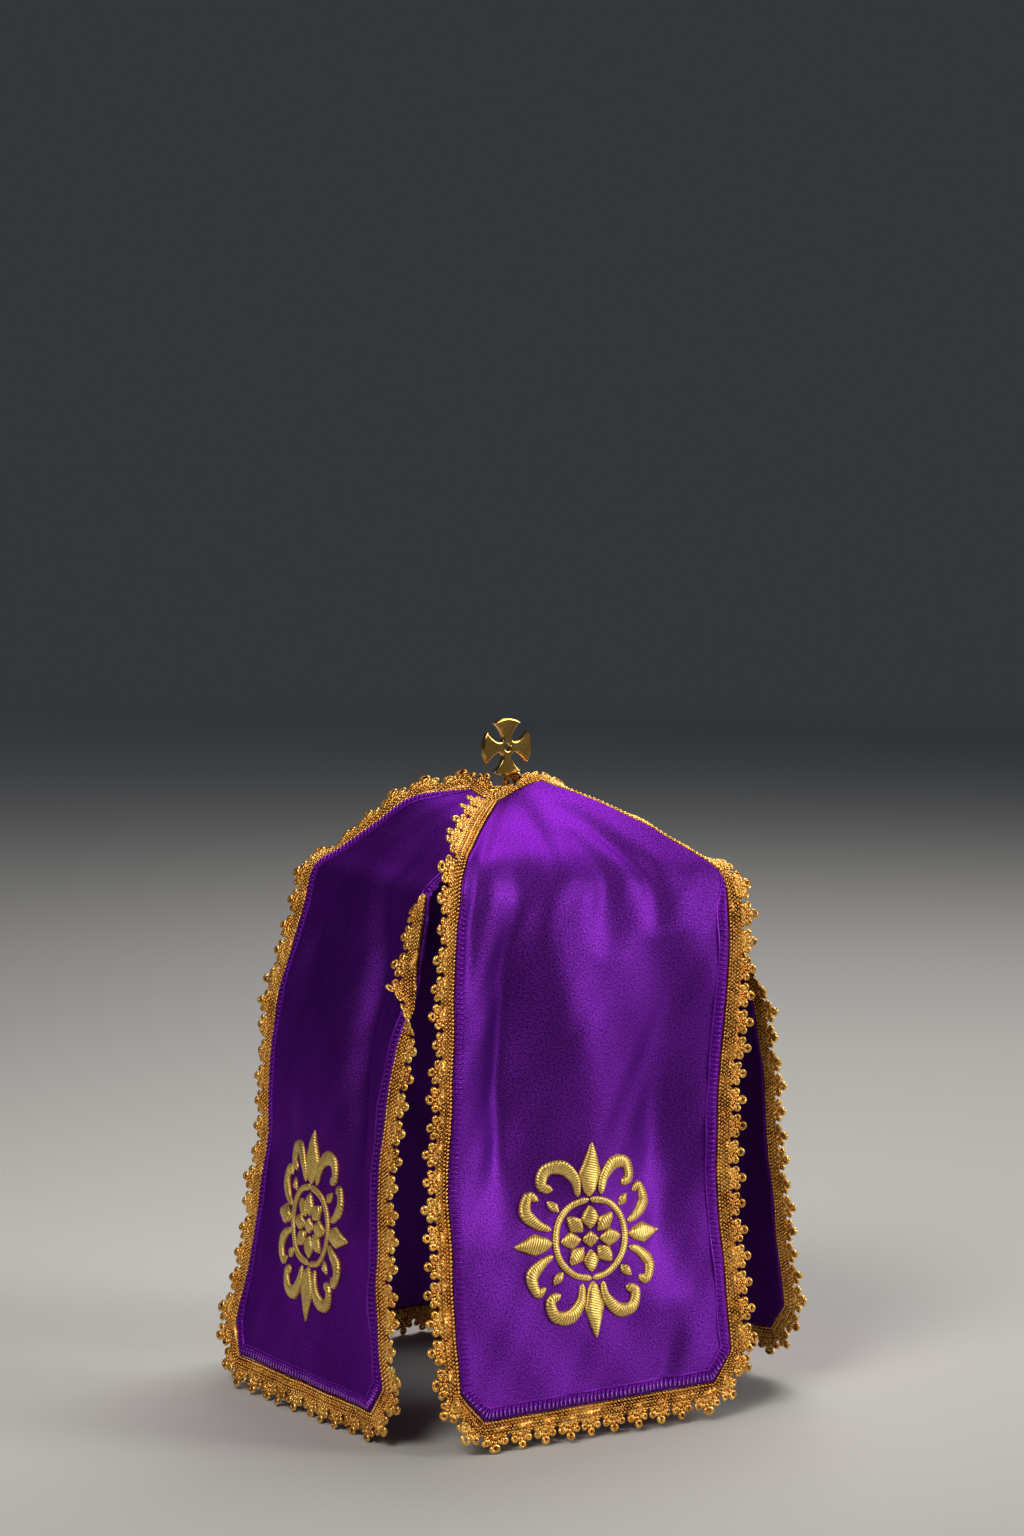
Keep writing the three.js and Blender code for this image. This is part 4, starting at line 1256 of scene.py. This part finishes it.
class VEIL_OT_panels(bpy.types.Operator):
    """Make the satin panels on their folds"""

    bl_idname = "veil.panels"
    bl_label = "Satin panels"

    def execute(self, context):
        cloth = context.scene.veil_cloth
        satin = finish_for("purple satin", satin_material, tuple(cloth.satin), cloth.grain, cloth.relief)
        for side in SIDES:
            piece = placed("satin_" + side, panel_mesh(side), satin)
            seat(piece, "satin", "panel_" + side)
        return {"FINISHED"}


class VEIL_OT_hems(bpy.types.Operator):
    """Make the ribbed rolled hems with their piping and overcast stitches"""

    bl_idname = "veil.hems"
    bl_label = "Rolled hems"

    def execute(self, context):
        cloth = context.scene.veil_cloth
        pitch, width, inset = cloth.rib_pitch / MM, cloth.band_width / MM, cloth.inset / MM
        looks = (
            ("ribbed hem satin", cloth.ribbed, HEM_ROUGHNESS),
            ("piping satin", cloth.piping, HEM_ROUGHNESS),
            ("lilac thread", cloth.thread, THREAD_ROUGHNESS),
        )
        finishes = [finish_for(name, trim_satin_material, tuple(colour), rough) for name, colour, rough in looks]
        motifs = [rib_motif(pitch, width), piping_motif(pitch, width + PIPING_GAP), stitch_motif(pitch, width)]
        names = ("ribs_", "piping_", "stitches_")
        for side in SIDES:
            edges = (HEMMED[side], PIPED[side], ["hem"])
            for name, motif, finish, parts in zip(names, motifs, finishes, edges):
                seam = band_seam(side, pitch, inset, parts)
                seat(trim(name + side, motif, seam, 1, finish), "satin")
        return {"FINISHED"}

class VEIL_OT_lace(bpy.types.Operator):
    """Make the crocheted gold edging of each panel"""

    bl_idname = "veil.lace"
    bl_label = "Gold lace"

    def execute(self, context):
        gold = context.scene.veil_gold
        thread = finish_for("gold crochet thread", gold_thread_material, tuple(gold.lace))
        for k, side in enumerate(SIDES):
            seam = lace_seam(side, gold.steps)
            piece = trim(
                "crochet_" + side, lace_motif(ROW_PITCH), seam, gold.steps, thread,
                sway=gold.sway, hinge=LACE_HINGE, seed=gold.seed + k, floor=0.0,
            )
            seat(piece, "gold_lace", "lace_" + side)
        return {"FINISHED"}


class VEIL_OT_embroidery(bpy.types.Operator):
    """Work the raised scroll ornament on each panel"""

    bl_idname = "veil.embroidery"
    bl_label = "Embroidery"

    def execute(self, context):
        gold = context.scene.veil_gold
        stitch = finish_for("gold satin stitch", satin_stitch_material, tuple(gold.stitch), gold.stitch_pitch)
        for side in SIDES:
            mesh = embroidery_mesh(side, gold.ornament_base / MM, gold.raised / MM)
            seat(placed("ornament_" + side, mesh, stitch), "gold_lace")
        return {"FINISHED"}


class VEIL_OT_finial(bpy.types.Operator):
    """Make the finial cross and polish the lid's crown"""

    bl_idname = "veil.finial"
    bl_label = "Finial cross"

    def execute(self, context):
        gold = context.scene.veil_gold
        brass = finish_for("polished brass", brass_material, tuple(gold.brass))
        seat(placed("cross_brass", cross_mesh(gold.bevel / MM), brass), "brass", "finial_cross")
        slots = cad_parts["lid_crown"].material_slots
        if not slots:
            raise RuntimeError("lid_crown has no material slot")
        for slot in slots:
            slot.material = brass
        return {"FINISHED"}


class VEIL_OT_cut(bpy.types.Operator):
    """Work out each panel's flat width down its length, which is not kept or shown"""

    bl_idname = "veil.cut"
    bl_label = "Flat cuts"

    def execute(self, context):
        for side in SIDES:
            drape = DRAPES[side]
            down = np.linspace(0, drape.hem, CUT_LEVELS)
            widths = 2 * drape.half_width(down)
        return {"FINISHED"}


class VEIL_OT_stage(bpy.types.Operator):
    """Set up the pale floor, the studio lights and the camera"""

    bl_idname = "veil.stage"
    bl_label = "Stage"

    def execute(self, context):
        scene, stage = context.scene, context.scene.veil_stage
        turns = [2 * math.pi * k / STAGE_SIDES for k in range(STAGE_SIDES)]
        rim = [(STAGE_RADIUS * math.cos(t), STAGE_RADIUS * math.sin(t), 0.0) for t in turns]
        mesh = bpy.data.meshes.new("stage floor")
        mesh.from_pydata(rim, [], [list(range(STAGE_SIDES))])
        floor = placed("stage_floor", mesh, stage_material("pale stage paper", tuple(stage.floor)))
        for name, light in LIGHTS.items():
            self.light(name, light, getattr(stage, name))
        world = bpy.data.worlds.new("room light")
        world.use_nodes = True
        background = world.node_tree.nodes["Background"].inputs
        background["Color"].default_value = (*ROOM_TINT, 1.0)
        background["Strength"].default_value = stage.air
        scene.world = world
        scene.view_settings.view_transform = "Standard"
        lens = bpy.data.cameras.new("camera")
        lens.sensor_width, lens.lens = CAMERA_SENSOR, CAMERA_LENS
        lens.clip_start, lens.clip_end = CAMERA_CLIP
        aim = Vector(CAMERA_AIM) * MM
        place = (CAMERA_AZIMUTH, CAMERA_ELEVATION, CAMERA_DISTANCE * MM)
        scene.camera = self.aimed("camera", lens, aim, *place)
        return {"FINISHED"}

    def light(self, name, light, power):
        """A soft square light that faces a height on the veil's axis, its beam spread over an angle."""
        lamp = bpy.data.lights.new(name, "AREA")
        lamp.size, lamp.energy, lamp.color = light.size, power, light.colour
        lamp.spread = math.radians(light.spread)
        target = Vector((0, 0, light.aim))
        self.aimed(name, lamp, target, light.azimuth, light.elevation, light.distance)

    def aimed(self, name, data, target, azimuth, elevation, distance):
        """An object that looks at a target from an azimuth and elevation in degrees."""
        a, e = math.radians(azimuth), math.radians(elevation)
        way = Vector((math.sin(a) * math.cos(e), -math.cos(a) * math.cos(e), math.sin(e)))
        made = bpy.data.objects.new(name, data)
        made.location = target + way * distance
        made.rotation_euler = (target - made.location).to_track_quat("-Z", "Y").to_euler()
        bpy.context.scene.collection.objects.link(made)
        return made

class VEIL_PT_sidebar(bpy.types.Panel):
    """The veil's sizes, colours and making steps"""

    bl_idname = "VEIL_PT_sidebar"
    bl_label = "Ciborium Veil"
    bl_space_type = "VIEW_3D"
    bl_region_type = "UI"
    bl_category = "Veil"

    def draw(self, context):
        for group in ("veil_cloth", "veil_gold", "veil_stage"):
            box = self.layout.box()
            settings = getattr(context.scene, group)
            for name in settings.__annotations__:
                box.prop(settings, name)
        for step in STEPS:
            self.layout.operator(step.bl_idname)


SETTINGS = {"veil_cloth": VeilClothSettings, "veil_gold": VeilGoldSettings, "veil_stage": VeilStageSettings}
STEPS = (
    VEIL_OT_panels,
    VEIL_OT_hems,
    VEIL_OT_lace,
    VEIL_OT_embroidery,
    VEIL_OT_finial,
    VEIL_OT_cut,
    VEIL_OT_stage,
)


def register():
    for made in (*SETTINGS.values(), *STEPS, VEIL_PT_sidebar):
        bpy.utils.register_class(made)
    for name, group in SETTINGS.items():
        setattr(bpy.types.Scene, name, PointerProperty(type=group))


def unregister():
    for name in SETTINGS:
        delattr(bpy.types.Scene, name)
    for made in (VEIL_PT_sidebar, *reversed(STEPS), *SETTINGS.values()):
        bpy.utils.unregister_class(made)


def main():
    register()
    for step in STEPS:
        group, name = step.bl_idname.split(".")
        getattr(getattr(bpy.ops, group), name)()
    bpy.context.view_layer.update()


if __name__ == "__main__":
    main()
